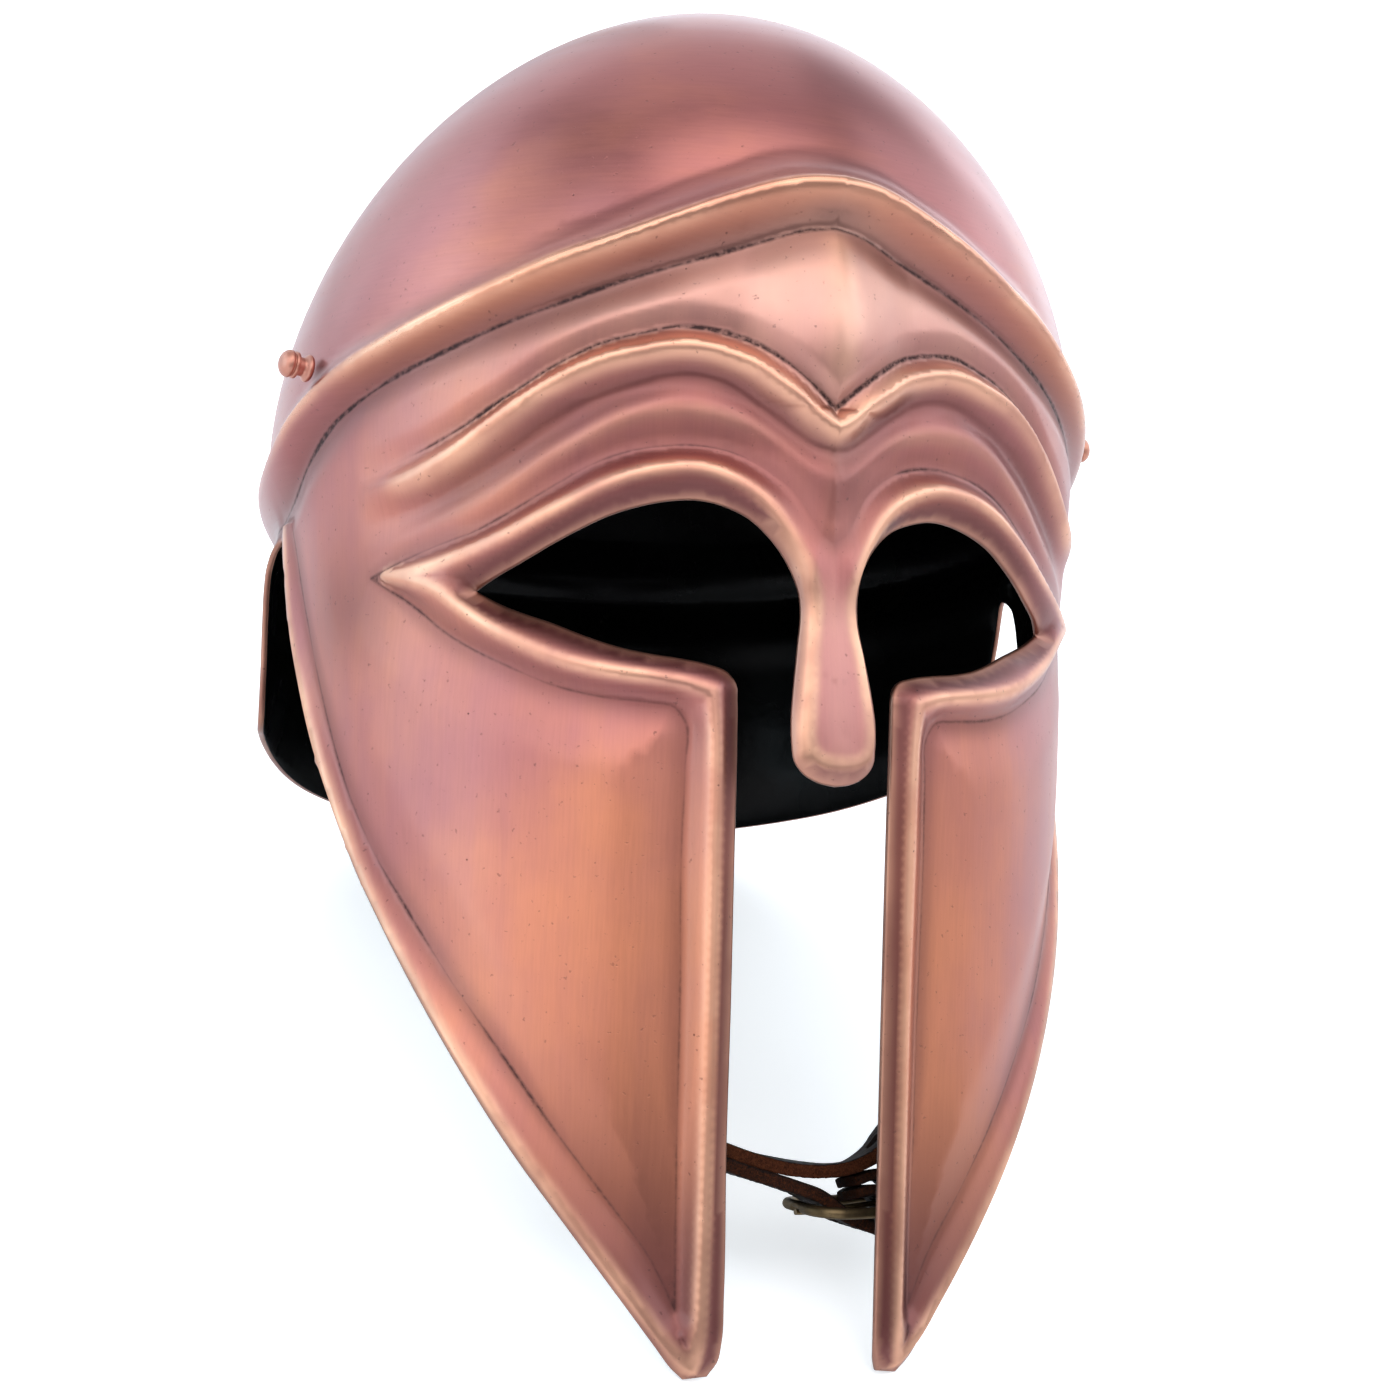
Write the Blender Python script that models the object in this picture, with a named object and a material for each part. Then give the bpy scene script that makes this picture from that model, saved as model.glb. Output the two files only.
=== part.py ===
"""Italo-corinthian helmet.

One raised copper sheet makes the skull with its ridge, the brow and eye rims, the nasal, the
cheekpieces and the neck guard. Two crest studs stand over the ridge, and a leather chin strap
in two lengths is buckled between the cheekpieces.

Everything is drawn in helmet axes, in millimetres: X to the wearer's left, -Y to the front and
Z up, with the front edges of the cheekpieces plumb and Z = 0 at 92 mm above their tips. An
empty then tips the helmet back onto its cheek tips and neck rim, which is how it rests.
"""

import math

import bmesh
import bpy
import numpy as np
from mathutils import Vector
from mathutils.geometry import delaunay_2d_cdt

for old in list(bpy.data.objects):
    bpy.data.objects.remove(old, do_unlink=True)

MM = 0.001
SHEET = 1.6
CELL = 9.5
ARC = 1.64
DOME_BASE = 105.0
DOME_RISE = 105.1
DOME_ARC = 158.0
DOME_POWER = 1.887
CROWN_LEAN = 19.0
LEAN_POWER = 1.1
CROWN_POINTS = 25
LEAST_PINCH = 0.08
FIELD_FADE = 9.0
RIM_FLARE = 2.2
RIM_FLARE_WIDTH = 16.0
LEATHER = 3.0
STRAP_WIDTH = 16.0


def table(names, *rows):
    """Rows of numbers as one array for each named column."""
    return {name: np.array(column, float) for name, column in zip(names.split(), zip(*rows))}


# Horizontal sections: half width at the ears, reach to the front and to the back.
SECTION = table(
    "height half front back",
    (-95, 93.0, 92.0, 103.0),
    (10, 93.0, 92.0, 105.0),
    (55, 93.4, 92.2, 104.0),
    (85, 94.0, 92.4, 105.5),
    (105, 95.6, 92.6, 107.0),
)

# The nasal and the keel above it: how proud, flat half width, width of each flank.
KEEL = table(
    "height proud flat flank",
    (20, 11.2, 9.5, 10.0),
    (38, 11.0, 9.5, 10.0),
    (50, 9.0, 8.0, 12.0),
    (61, 6.4, 6.0, 14.0),
    (75, 5.4, 2.5, 17.0),
    (92, 5.4, 0.0, 20.0),
    (104, 4.4, 0.0, 20.0),
    (120, 6.6, 0.0, 21.0),
    (144, 2.6, 0.0, 20.0),
    (156, 0.0, 0.0, 20.0),
)

# The ridge round the skull: crest and the crease under it, height of the flare over it.
RIDGE = table(
    "angle crest crease flare proud sunk",
    (0, 150.0, 142.9, 13.0, 8.4, -0.6),
    (5, 149.7, 141.9, 13.0, 7.9, -1.0),
    (10, 148.1, 139.6, 13.0, 7.2, -1.4),
    (15, 145.4, 137.0, 12.0, 6.6, -1.8),
    (20, 142.3, 134.4, 12.0, 6.2, -2.0),
    (25, 139.3, 131.8, 11.0, 5.4, -2.2),
    (30, 136.6, 129.0, 10.0, 4.4, -2.2),
    (36, 133.6, 125.5, 9.0, 3.8, -2.2),
    (43, 129.2, 121.7, 8.0, 3.4, -2.0),
    (51, 124.4, 116.9, 8.0, 3.2, -1.8),
    (60, 119.2, 111.8, 8.0, 3.2, -1.4),
    (69, 114.2, 106.0, 8.0, 3.4, -1.2),
    (78, 108.4, 98.2, 8.0, 3.4, -1.2),
    (85, 103.4, 91.0, 8.0, 3.2, -1.2),
    (92, 99.4, 86.4, 8.0, 3.0, -1.2),
    (105, 94.6, 82.0, 8.0, 3.0, -1.2),
    (125, 90.6, 78.6, 8.0, 3.0, -1.2),
    (150, 88.0, 76.4, 8.0, 3.0, -1.2),
    (180, 87.0, 75.6, 8.0, 3.0, -1.2),
)

# The brow: upper crease, crest, lower crease and how far the crest stands over them.
BROW = table(
    "angle upper crest lower proud sunk",
    (0, 105.2, 101.0, 95.6, 1.8, -1.4),
    (2, 108.4, 102.8, 96.6, 1.9, -1.4),
    (4.5, 111.8, 106.6, 99.4, 2.0, -1.3),
    (7.2, 115.0, 109.6, 102.8, 2.1, -1.2),
    (10, 117.6, 112.8, 106.2, 2.2, -1.2),
    (13.5, 119.4, 115.0, 109.0, 2.2, -1.2),
    (17, 120.3, 116.2, 110.1, 2.2, -1.2),
    (20.5, 120.3, 116.1, 109.7, 2.2, -1.2),
    (24, 119.0, 115.0, 108.1, 2.2, -1.2),
    (29, 116.8, 113.0, 105.2, 2.2, -1.2),
    (35, 112.2, 108.4, 99.8, 2.2, -1.2),
    (42, 105.2, 101.2, 92.8, 2.2, -1.2),
    (48, 99.8, 95.0, 87.8, 2.2, -1.2),
    (54, 95.8, 90.6, 84.0, 2.0, -1.1),
    (58, 93.8, 88.9, 82.4, 1.5, -0.9),
    (62, 92.0, 87.9, 81.0, 0.6, -0.4),
    (65, 91.0, 87.4, 80.4, 0.0, 0.0),
)

# The lid fold between the brow and the eye rim.
LID = table(
    "angle crest reach proud",
    (0, 88.0, 5.0, 0.0),
    (6, 97.0, 4.5, 0.4),
    (12, 101.6, 5.0, 0.9),
    (18, 103.2, 5.5, 1.0),
    (25, 101.4, 5.5, 1.0),
    (34, 94.2, 5.0, 0.9),
    (44, 84.6, 4.5, 0.7),
    (54, 79.4, 4.0, 0.3),
    (60, 76.0, 4.0, 0.0),
)

# The outline of one half, as angle, height and relief. Each run ends at a corner.
OUTLINE = {
    "nasal": [
        (0, 27.0, -2.2), (2.0, 27.6, -2.2), (3.7, 29.1, -2.4), (4.9, 31.8, -2.6), (5.2, 35, -2.8),
        (5.3, 40, -2.8), (5.0, 46, -2.8), (4.7, 50, -2.8), (4.2, 56, -2.6), (3.8, 61, -2.4),
        (3.9, 66, -2.2), (4.8, 71, -2.0), (6.1, 75, -1.6), (7.8, 78.4, -1.2), (10, 81.4, -0.6),
        (12.8, 83.4, 0), (16.3, 84.6, 0), (20, 84.3, 0), (23.7, 83.0, 0.2), (27.5, 81.0, 0.2),
        (31.2, 78.2, 0), (35, 75, -0.2), (38.9, 71.5, -0.4), (42.5, 68.5, -0.6), (45.8, 65.8, -1.6),
    ],
    "eye_bottom": [
        (45.8, 65.8, -1.6), (42, 62.8, -2.6), (38.8, 61.0, -3.0), (35.5, 59.4, -2.8),
        (31, 56.8, -2.4), (26, 54.4, -2.0), (22, 53.2, -1.8), (18, 52.4, -1.6), (14.5, 51.4, -1.4),
        (12, 50.0, -1.4), (10.9, 47.6, -1.4), (10.7, 44, -1.4), (10.6, 36, -1.4), (10.5, 10, -1.4),
        (10.4, -16, -1.4), (10.4, -46, -1.4), (10.2, -75, -1.4), (10.3, -84, -1.4),
        (10.7, -88, -1.6), (11.8, -91.0, -2.0),
    ],
    "cheek_tip": [(11.8, -91.0, -2.0), (14.9, -91.6, -2.0)],
    "cheek_rear": [
        (14.9, -91.6, -2.0), (16.5, -89.3, -1.6), (18.4, -85.5, -1.2), (22.2, -77.9, -1.0),
        (30, -62.8, -1.0), (38, -47.7, -1.0), (45.5, -32.4, -1.0), (53, -16.7, -1.0),
        (60.7, -0.6, -1.0), (64.6, 7.7, -0.8), (68.1, 16.1, -0.6), (71.9, 24.8, -0.6),
        (76.4, 35.8, -0.6), (80.4, 47.1, -0.6), (84.6, 59, -0.6), (87.2, 69, -0.4),
        (89.4, 77, 0), (90.9, 81.0, 0), (92.6, 82.4, 0), (94.2, 81.4, 0), (95.4, 78.5, 0),
        (96.8, 71, 0), (98.0, 61, 0), (98.6, 52, 0), (99.2, 46, 0), (100.2, 42.2, 0),
        (102.2, 40.4, 0), (106, 39.6, 0), (111, 37.8, 0), (118, 34.6, 0), (124, 31.8, 0),
        (130, 29.4, 0), (137, 27.2, 0), (144.5, 25.2, 0), (155, 22.9, 0), (165, 22.0, 0),
        (172, 23.1, 0), (180, 23.8, 0),
    ],
}

# The crest of the rolled border, from the nasal round the eye and down the cheekpiece.
CREST = {
    "eye_top": [
        (0, 31.3, 0.2), (2.2, 31.9, 0.2), (3.5, 33.6, 0.2), (4.0, 36.5, 0.2), (3.8, 42, 0.2),
        (3.5, 48, 0.2), (3.2, 54, 0.2), (2.7, 60, 0.2), (2.6, 66, 0.4), (3.5, 71, 0.8),
        (4.8, 75.6, 1.2), (6.0, 79.3, 1.6), (7.6, 83.2, 2.0), (9.8, 86.8, 2.4), (12.9, 89.7, 2.6),
        (16.3, 91.2, 2.8), (19.5, 91.1, 2.8), (23.7, 89.8, 2.8), (28, 87.2, 2.8), (32, 84.0, 2.6),
        (36, 80.7, 2.4), (40, 77.4, 2.2), (43.9, 74.9, 2.0), (47.5, 72.9, 1.8), (51.5, 71.0, 1.6),
        (60.0, 69.7, 1.0),
    ],
    "eye_bottom": [
        (60.0, 69.7, 1.0), (54, 68.0, 1.6), (50.6, 66.2, 1.8), (47.8, 63.5, 1.8),
        (44.4, 59.9, 1.8), (40.7, 56.7, 1.8), (37.5, 54.2, 1.8), (34.1, 52.0, 1.9),
        (28, 49.6, 2.0), (22, 48.3, 2.1), (17.5, 47.2, 2.2), (14.0, 45.6, 2.3),
    ],
    "cheek_front": [
        (14.0, 45.6, 2.3), (13.5, 36, 2.3), (13.2, 13, 2.3), (13.0, -16, 2.3), (13.0, -46, 2.3),
        (13.1, -72, 2.2), (13.3, -84, 1.6), (13.8, -89.4, 0.6),
    ],
    "cheek_rear": [
        (13.8, -89.4, 0.6), (16.6, -85.6, 0.9), (20.7, -77.6, 1.0), (28.4, -62.6, 1.1),
        (36.3, -47.4, 1.1), (43.8, -32.2, 1.1), (51.2, -16.5, 1.1), (58.9, -0.4, 1.1),
        (66.3, 16.4, 1.1), (70.1, 25.2, 1.1), (74.6, 36.4, 1.1), (78.6, 47.8, 1.1),
        (82.8, 60.2, 1.0), (85.4, 70.4, 0.8), (87.4, 78.4, 0.6), (88.8, 84.0, 0.2),
    ],
}

# The crease on the far side of that border.
CREASE = {
    "eye_top": [
        (0, 77.0, -0.4), (1.4, 78.6, -0.6), (2.7, 82.0, -0.8), (4.7, 87.3, -1.0), (7.6, 91.3, -1.0),
        (10.6, 94.0, -1.0), (13.8, 95.5, -1.0), (17, 96.0, -1.0), (20.9, 95.6, -1.0),
        (25, 94.4, -1.0), (29.3, 92.0, -1.0), (34, 88.0, -1.0), (38, 84.4, -1.0), (41.9, 81.0, -1.0),
        (46, 78.0, -1.0), (50.4, 76.0, -1.0), (55, 73.8, -1.0), (59, 71.8, -1.0), (63, 69.6, -0.8),
    ],
    "eye_bottom": [
        (63, 69.6, -0.8), (60.3, 67.2, -1.2), (57, 64.6, -1.4), (53.8, 61.4, -1.5),
        (50.4, 57.6, -1.6), (46, 53.8, -1.6), (41.4, 50.6, -1.6), (34.5, 46.3, -1.6),
        (28, 44.0, -1.6), (22, 43.1, -1.6), (18.6, 42.2, -1.6), (17.3, 39.6, -1.6),
        (17.1, 30, -1.6), (17.2, 13, -1.6), (16.8, -16, -1.6), (16.6, -46, -1.6), (16.3, -70, -1.4),
        (16.2, -77.8, -1.2),
    ],
    "cheek_rear": [
        (16.2, -77.8, -1.2), (19.4, -68.2, -1.4), (25.9, -55.2, -1.5), (32.4, -42.8, -1.5),
        (39.4, -29.0, -1.5), (46.9, -15.0, -1.5), (54.6, -0.4, -1.5), (61.6, 12.6, -1.4),
        (67.4, 26, -1.3), (71.6, 38, -1.2), (75.4, 50, -1.1), (79.0, 62, -1.0), (81.8, 72, -0.8),
        (84.0, 80, -0.6), (86.0, 86, -0.4),
    ],
}


def ease(t):
    t = np.clip(t, 0.0, 1.0)
    return t * t * (3.0 - 2.0 * t)


def climb(height):
    """Distance up the wall: the height itself, and along the curve of the dome above its base."""
    rise = np.clip((height - DOME_BASE) / DOME_RISE, 0.0, 1.0) ** (DOME_POWER / 2)
    return np.minimum(height, DOME_BASE) + DOME_ARC * np.arcsin(rise) / (math.pi / 2)


def smooth(rows, step):
    """Points about every step mm along a smooth line through rows of angle, height and relief."""
    knots = np.array(rows, float)
    knots[:, 0] *= ARC
    knots[:, 1] = climb(knots[:, 1])
    chord = np.hypot(*np.diff(knots[:, :2], axis=0).T)
    at = np.concatenate([[0.0], np.cumsum(chord)])
    slope = np.gradient(knots, at, axis=0) if len(knots) > 2 else np.diff(knots, axis=0) / at[1]
    slope = np.broadcast_to(slope, knots.shape)
    parts = [knots[:1]]
    for k, length in enumerate(chord):
        count = max(1, round(length / step))
        t = (np.arange(count)[:, None] + 1.0) / count
        ahead, behind = t * t * (3 - 2 * t), (1 - t) ** 2 * t
        back = t * t * (t - 1)
        parts.append(
            knots[k] * (1 - ahead)
            + knots[k + 1] * ahead
            + length * (slope[k] * behind + slope[k + 1] * back)
        )
    return np.concatenate(parts)


def line(runs, step):
    """The runs of a line joined, with their corners kept."""
    parts = [smooth(rows, step) for rows in runs.values()]
    return np.concatenate([parts[0]] + [part[1:] for part in parts[1:]])


def graph(columns, name, step, first=0.0, last=180.0):
    """One height column of a table as a line."""
    rows = [
        (angle, height, 0.0)
        for angle, height in zip(columns["angle"], columns[name])
        if first <= angle <= last
    ]
    return smooth(rows, step)


def curve(columns, name, angle):
    """A column at any angle, eased through its rows."""
    xs, ys = columns["angle"], columns[name]
    slope = np.gradient(ys, xs)
    k = np.clip(np.searchsorted(xs, angle) - 1, 0, len(xs) - 2)
    width = xs[k + 1] - xs[k]
    t = np.clip((angle - xs[k]) / width, 0.0, 1.0)
    ahead = t * t * (3 - 2 * t)
    bend = width * (slope[k] * (1 - t) ** 2 * t + slope[k + 1] * t * t * (t - 1))
    return ys[k] * (1 - ahead) + ys[k + 1] * ahead + bend


def nearest(points, path):
    """Distance of each point from a path, and the path's relief there."""
    start, run = path[:-1, :2], np.diff(path[:, :2], axis=0)
    length = np.maximum((run**2).sum(axis=1), 1e-9)
    distance, relief = np.empty(len(points)), np.empty(len(points))
    for first in range(0, len(points), 4000):
        block = points[first : first + 4000, None, :]
        t = np.clip(((block - start) * run).sum(axis=2) / length, 0.0, 1.0)
        gap = ((start + t[..., None] * run - block) ** 2).sum(axis=2)
        best = gap.argmin(axis=1)
        row = np.arange(len(best))
        part = t[row, best]
        distance[first : first + 4000] = np.sqrt(gap[row, best])
        relief[first : first + 4000] = path[best, 2] * (1 - part) + path[best + 1, 2] * part
    return distance, relief


def inside(points, polygon):
    """Which points lie inside a polygon."""
    hit = np.zeros(len(points), bool)
    for a, b in zip(polygon, np.roll(polygon, -1, axis=0)):
        if a[1] == b[1]:
            continue
        spans = (points[:, 1] >= min(a[1], b[1])) & (points[:, 1] < max(a[1], b[1]))
        across = a[0] + (points[:, 1] - a[1]) * (b[0] - a[0]) / (b[1] - a[1])
        hit ^= spans & (points[:, 0] < across)
    return hit


TOP = climb(DOME_BASE + DOME_RISE)
EDGE_LINE = line(OUTLINE, 1.5)
CREST_LINE = line(CREST, 1.5)
CREASE_LINE = line(CREASE, 1.5)
OVER = np.array([[200 * ARC, 86.0], [200 * ARC, TOP + 9], [-9.0, TOP + 9], [-9.0, 31.3]])
OVER_CREASE = np.array([[200 * ARC, 86.0], [200 * ARC, TOP + 9], [-9.0, TOP + 9], [-9.0, 77.0]])


def relief(flat):
    """How far the sheet stands out from the plain form at points of the unrolled half."""
    angle, up = flat[:, 0] / ARC, flat[:, 1]
    edge_gap, edge = nearest(flat, EDGE_LINE)
    crest_gap, crest = nearest(flat, CREST_LINE)
    crease_gap, crease = nearest(flat, CREASE_LINE)
    past_crest = inside(flat, np.concatenate([CREST_LINE[:, :2], OVER]))
    past_crease = inside(flat, np.concatenate([CREASE_LINE[:, :2], OVER_CREASE]))
    rise = edge_gap / (edge_gap + crest_gap + 1e-9)
    roll = edge + (crest - edge) * np.sin(0.5 * math.pi * rise)
    fall = crest_gap / (crest_gap + crease_gap + 1e-9)
    roll = np.where(past_crest, crest + (crease - crest) * ease(fall), roll)
    roll = np.where(past_crest & past_crease, crease * (1 - ease(crease_gap / FIELD_FADE)), roll)
    guard = ease((angle - 92.0) / 3.0)
    flare = RIM_FLARE * (1 - np.clip(edge_gap / RIM_FLARE_WIDTH, 0, 1)) ** 2
    flare *= ease((100.0 - up) / 30.0)
    roll = roll * (1 - guard) + flare * guard

    field = past_crease | (angle > 90)
    crest_up = climb(curve(RIDGE, "crest", angle))
    crease_up = climb(curve(RIDGE, "crease", angle))
    proud, sunk = curve(RIDGE, "proud", angle), curve(RIDGE, "sunk", angle)
    over = np.clip((up - crest_up) / curve(RIDGE, "flare", angle), 0.0, 1.0)
    under = (crest_up - up) / (crest_up - crease_up)
    ridge = proud + (sunk - proud) * ease(under)
    ridge = np.where(up > crest_up, proud * (1 - over) ** 2.2, ridge)
    ridge = np.where(under > 1, sunk * (1 - ease((crease_up - up) / FIELD_FADE)), ridge)

    upper, top, lower = (climb(curve(BROW, name, angle)) for name in ("upper", "crest", "lower"))
    proud, sunk = curve(BROW, "proud", angle), curve(BROW, "sunk", angle)
    side = np.where(up > top, (up - top) / (upper - top), (top - up) / (top - lower))
    width = np.where(up > top, upper - top, top - lower)
    brow = np.where(side < 1, proud + (sunk - proud) * ease(side), 0.0)
    brow = np.where(side >= 1, sunk * (1 - ease((side - 1) * width / 6.0)), brow)
    brow = np.where(angle < 65, brow, 0.0)

    middle = curve(LID, "crest", np.minimum(angle, 60))
    reach = curve(LID, "reach", np.minimum(angle, 60))
    lid = curve(LID, "proud", np.minimum(angle, 60)) * (1 - ease(np.abs(up - middle) / reach))

    height = np.minimum(up, DOME_BASE) + np.clip(up - DOME_BASE, 0, 60) * 0.97
    out = np.interp(height, KEEL["height"], KEEL["proud"])
    flank = np.interp(height, KEEL["height"], KEEL["flank"])
    flat_half = np.interp(height, KEEL["height"], KEEL["flat"])
    keel = out * (1 - np.clip((angle * ARC - flat_half) / flank, 0, 1)) ** 2
    keel = np.where(angle < 30, keel, 0.0)
    weight = np.where(field, 1.0, 0.0)
    return roll + keel + weight * (ridge + brow + lid)


def base(flat):
    """The plain form: egg-shaped sections under a dome, for points of the unrolled half."""
    turn, up = np.radians(flat[:, 0] / ARC), flat[:, 1]
    lift = np.clip((up - DOME_BASE) / DOME_ARC, 0.0, 1.0) * math.pi / 2
    shrink = np.clip(np.cos(lift), 0.0, 1.0) ** (2 / DOME_POWER)
    rise = np.sin(lift) ** (2 / DOME_POWER)
    half, front, back = (
        np.interp(up, SECTION["height"], SECTION[name]) for name in ("half", "front", "back")
    )
    x = half * shrink * np.sin(turn)
    y = -np.where(np.cos(turn) > 0, front, back) * np.cos(turn) * shrink
    y -= CROWN_LEAN * rise**LEAN_POWER
    z = np.minimum(up, DOME_BASE) + DOME_RISE * rise
    return np.stack([x, y, z], axis=1)


def outward(flat):
    """Unit normals of the plain form."""
    around, along = np.array([0.4, 0.0]), np.array([0.0, 0.4])
    low = flat - np.array([0.0, 1.0]) * np.clip(flat[:, 1:] - (TOP - 1.0), 0.0, None)
    across = base(low + around) - base(low - around)
    upward = base(low + along) - base(low - along)
    normal = np.cross(across, upward)
    normal[:, 0][flat[:, 0] < 1e-6] = 0.0
    normal[:, 0][flat[:, 0] > 180 * ARC - 1e-6] = 0.0
    return normal / np.linalg.norm(normal, axis=1)[:, None]


def pinch(flat, way):
    """Narrows the unrolled half towards the crown as the dome does, or with way -1 undoes it."""
    lift = np.clip((flat[:, 1] - DOME_BASE) / DOME_ARC, 0.0, 1.0) * math.pi / 2
    narrow = (LEAST_PINCH + (1 - LEAST_PINCH) * np.cos(lift) ** (2 / DOME_POWER)) ** way
    middle = 90 * ARC
    return np.stack([middle + (flat[:, 0] - middle) * narrow, flat[:, 1]], axis=1)


def half_net(cell):
    """Points and triangles of the unrolled half, with edges along every crest and crease."""
    step = cell * 0.7
    edge = line(OUTLINE, step)[:, :2]
    side = np.arange(1, math.ceil((TOP - 23.8) / cell))[:, None] / math.ceil((TOP - 23.8) / cell)
    rise = edge[-1] + side * (np.array([edge[-1][0], TOP]) - edge[-1])
    crown = np.linspace(180 * ARC, 0.0, CROWN_POINTS)
    over = np.stack([crown, np.full(CROWN_POINTS, TOP)], axis=1)
    drop = np.array([0.0, TOP]) + side * (edge[0] - np.array([0.0, TOP]))
    outline = np.concatenate([edge, rise, over, drop])
    points, joins = [outline], [(k, (k + 1) % len(outline)) for k in range(len(outline))]
    count = len(outline)
    lines = [line(CREST, step), line(CREASE, step)]
    lines += [graph(RIDGE, name, step) for name in ("crest", "crease")]
    lines += [graph(BROW, name, step, 0.0, 62.0) for name in ("upper", "crest", "lower")]
    for path in lines:
        points.append(path[:, :2])
        joins += [(count + k, count + k + 1) for k in range(len(path) - 1)]
        count += len(path)
    fixed = [outline] + [path[:, :2] for path in lines]
    rows = []
    for k, up in enumerate(np.arange(-92.0, TOP - 0.3 * cell, cell * 0.87)):
        around = np.linalg.norm(
            np.diff(base(np.stack([np.linspace(0, 180 * ARC, 40), np.full(40, up)], 1)), axis=0),
            axis=1,
        ).sum()
        across = max(3, round(around / cell))
        u = (np.arange(across) + 0.5 * (k % 2) + 0.25) * 180 * ARC / across
        rows.append(np.stack([u, np.full(across, up)], axis=1))
    fill = np.concatenate(rows)
    fill = fill[inside(fill, outline)]
    for path in fixed:
        closed = np.pad(path, ((0, 0), (0, 1)))
        near = 0.5 * cell * np.clip(1 + (fill[:, 1] - 150) / 60, 1, 2)
        fill = fill[nearest(fill, closed)[0] > near]
    points.append(fill)
    flat = [Vector(point) for point in pinch(np.concatenate(points), 1)]
    made, _, faces, *_ = delaunay_2d_cdt(flat, joins, [], 0, 1e-3)
    made = pinch(np.array([tuple(point) for point in made]), -1)
    faces = np.array([face for face in faces if len(face) == 3])
    off_seam = np.abs(made[:, 0] - 90 * ARC) < 90 * ARC - 1e-3
    keep = inside(made[faces].mean(axis=1), outline) & off_seam[faces].any(axis=1)
    return made, faces[keep]


def shell_mesh(cell):
    """The closed sheet: outer and inner wall of one half, its cut edges, and the mirrored half."""
    flat, faces = half_net(cell)
    flat[:, 0] = np.clip(flat[:, 0], 0.0, 180 * ARC)
    flat[:, 1] = np.minimum(flat[:, 1], TOP)
    plain, normal, stand = base(flat), outward(flat), relief(flat)[:, None]
    outer, inner = plain + normal * stand, plain + normal * (stand - SHEET)
    crown = flat[:, 1] > TOP - 1e-3
    for wall in (outer, inner):
        wall[:, 0][flat[:, 0] < 1e-3] = 0.0
        wall[:, 0][flat[:, 0] > 180 * ARC - 1e-3] = 0.0
        wall[crown] = wall[crown].mean(axis=0) * [0.0, 1.0, 1.0]
    a, b, c = (flat[faces[:, k]] for k in range(3))
    turned = np.cross(b - a, c - a) < 0
    faces[turned] = faces[turned][:, ::-1]
    edges = np.concatenate([faces[:, [0, 1]], faces[:, [1, 2]], faces[:, [2, 0]]])
    keys = np.sort(edges, axis=1)
    _, index, count = np.unique(keys, axis=0, return_inverse=True, return_counts=True)
    rim = edges[count[index.reshape(-1)] == 1]
    middle = (flat[rim[:, 0], 0] < 1e-3) & (flat[rim[:, 1], 0] < 1e-3)
    middle |= (flat[rim[:, 0], 0] > 180 * ARC - 1e-3) & (flat[rim[:, 1], 0] > 180 * ARC - 1e-3)
    middle |= (flat[rim[:, 0], 1] > TOP - 1e-3) & (flat[rim[:, 1], 1] > TOP - 1e-3)
    rim = rim[~middle]
    shift = len(flat)
    walls = [tuple(face) for face in faces] + [tuple(face[::-1] + shift) for face in faces]
    walls += [(j, i, i + shift, j + shift) for i, j in rim]
    mesh = bpy.data.meshes.new("helmet_shell")
    mesh.from_pydata((np.concatenate([outer, inner]) * MM).tolist(), [], walls)
    solid = bmesh.new()
    solid.from_mesh(mesh)
    bmesh.ops.remove_doubles(solid, verts=solid.verts, dist=1e-6)
    everything = solid.verts[:] + solid.edges[:] + solid.faces[:]
    bmesh.ops.mirror(solid, geom=everything, axis="X", merge_dist=1e-6)
    bmesh.ops.dissolve_degenerate(solid, dist=1e-6, edges=solid.edges)
    bmesh.ops.recalc_face_normals(solid, faces=solid.faces)
    solid.to_mesh(mesh)
    solid.free()
    return mesh


def material(name, colour, roughness, metallic):
    made = bpy.data.materials.new(name)
    made.use_nodes = True
    shader = made.node_tree.nodes["Principled BSDF"]
    shader.inputs["Base Color"].default_value = (*colour, 1.0)
    shader.inputs["Roughness"].default_value = roughness
    shader.inputs["Metallic"].default_value = metallic
    return made


COPPER = material("copper", (0.55, 0.30, 0.24), 0.32, 1.0)
LEATHER_BROWN = material("leather", (0.035, 0.020, 0.015), 0.6, 0.0)
BRASS = material("brass", (0.36, 0.27, 0.15), 0.42, 1.0)

rest = bpy.data.objects.new("rest_pose", None)
bpy.context.scene.collection.objects.link(rest)


def add(name, mesh, coat):
    thing = bpy.data.objects.new(name, mesh)
    bpy.context.scene.collection.objects.link(thing)
    thing.parent = rest
    mesh.materials.clear()
    mesh.materials.append(coat)
    return thing


def solid_from(name, points, faces):
    mesh = bpy.data.meshes.new(name)
    mesh.from_pydata((np.asarray(points, float) * MM).tolist(), [], faces)
    solid = bmesh.new()
    solid.from_mesh(mesh)
    bmesh.ops.remove_doubles(solid, verts=solid.verts, dist=1e-7)
    bmesh.ops.recalc_face_normals(solid, faces=solid.faces)
    solid.to_mesh(mesh)
    solid.free()
    return mesh


def lathe(name, profile, foot, axis, sides=14):
    """A turned solid: rows of distance along the axis and radius."""
    axis = Vector(axis).normalized()
    one = axis.orthogonal().normalized()
    two = axis.cross(one)
    points = []
    for along, radius in profile:
        for k in range(sides):
            turn = 2 * math.pi * k / sides
            arm = one * math.cos(turn) + two * math.sin(turn)
            points.append(Vector(foot) + axis * along + arm * radius)
    faces = [tuple(range(sides)), tuple(len(points) - sides + k for k in range(sides))]
    for ring in range(len(profile) - 1):
        for k in range(sides):
            a, b = ring * sides + k, ring * sides + (k + 1) % sides
            faces.append((a, b, b + sides, a + sides))
    return solid_from(name, points, faces)


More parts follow.
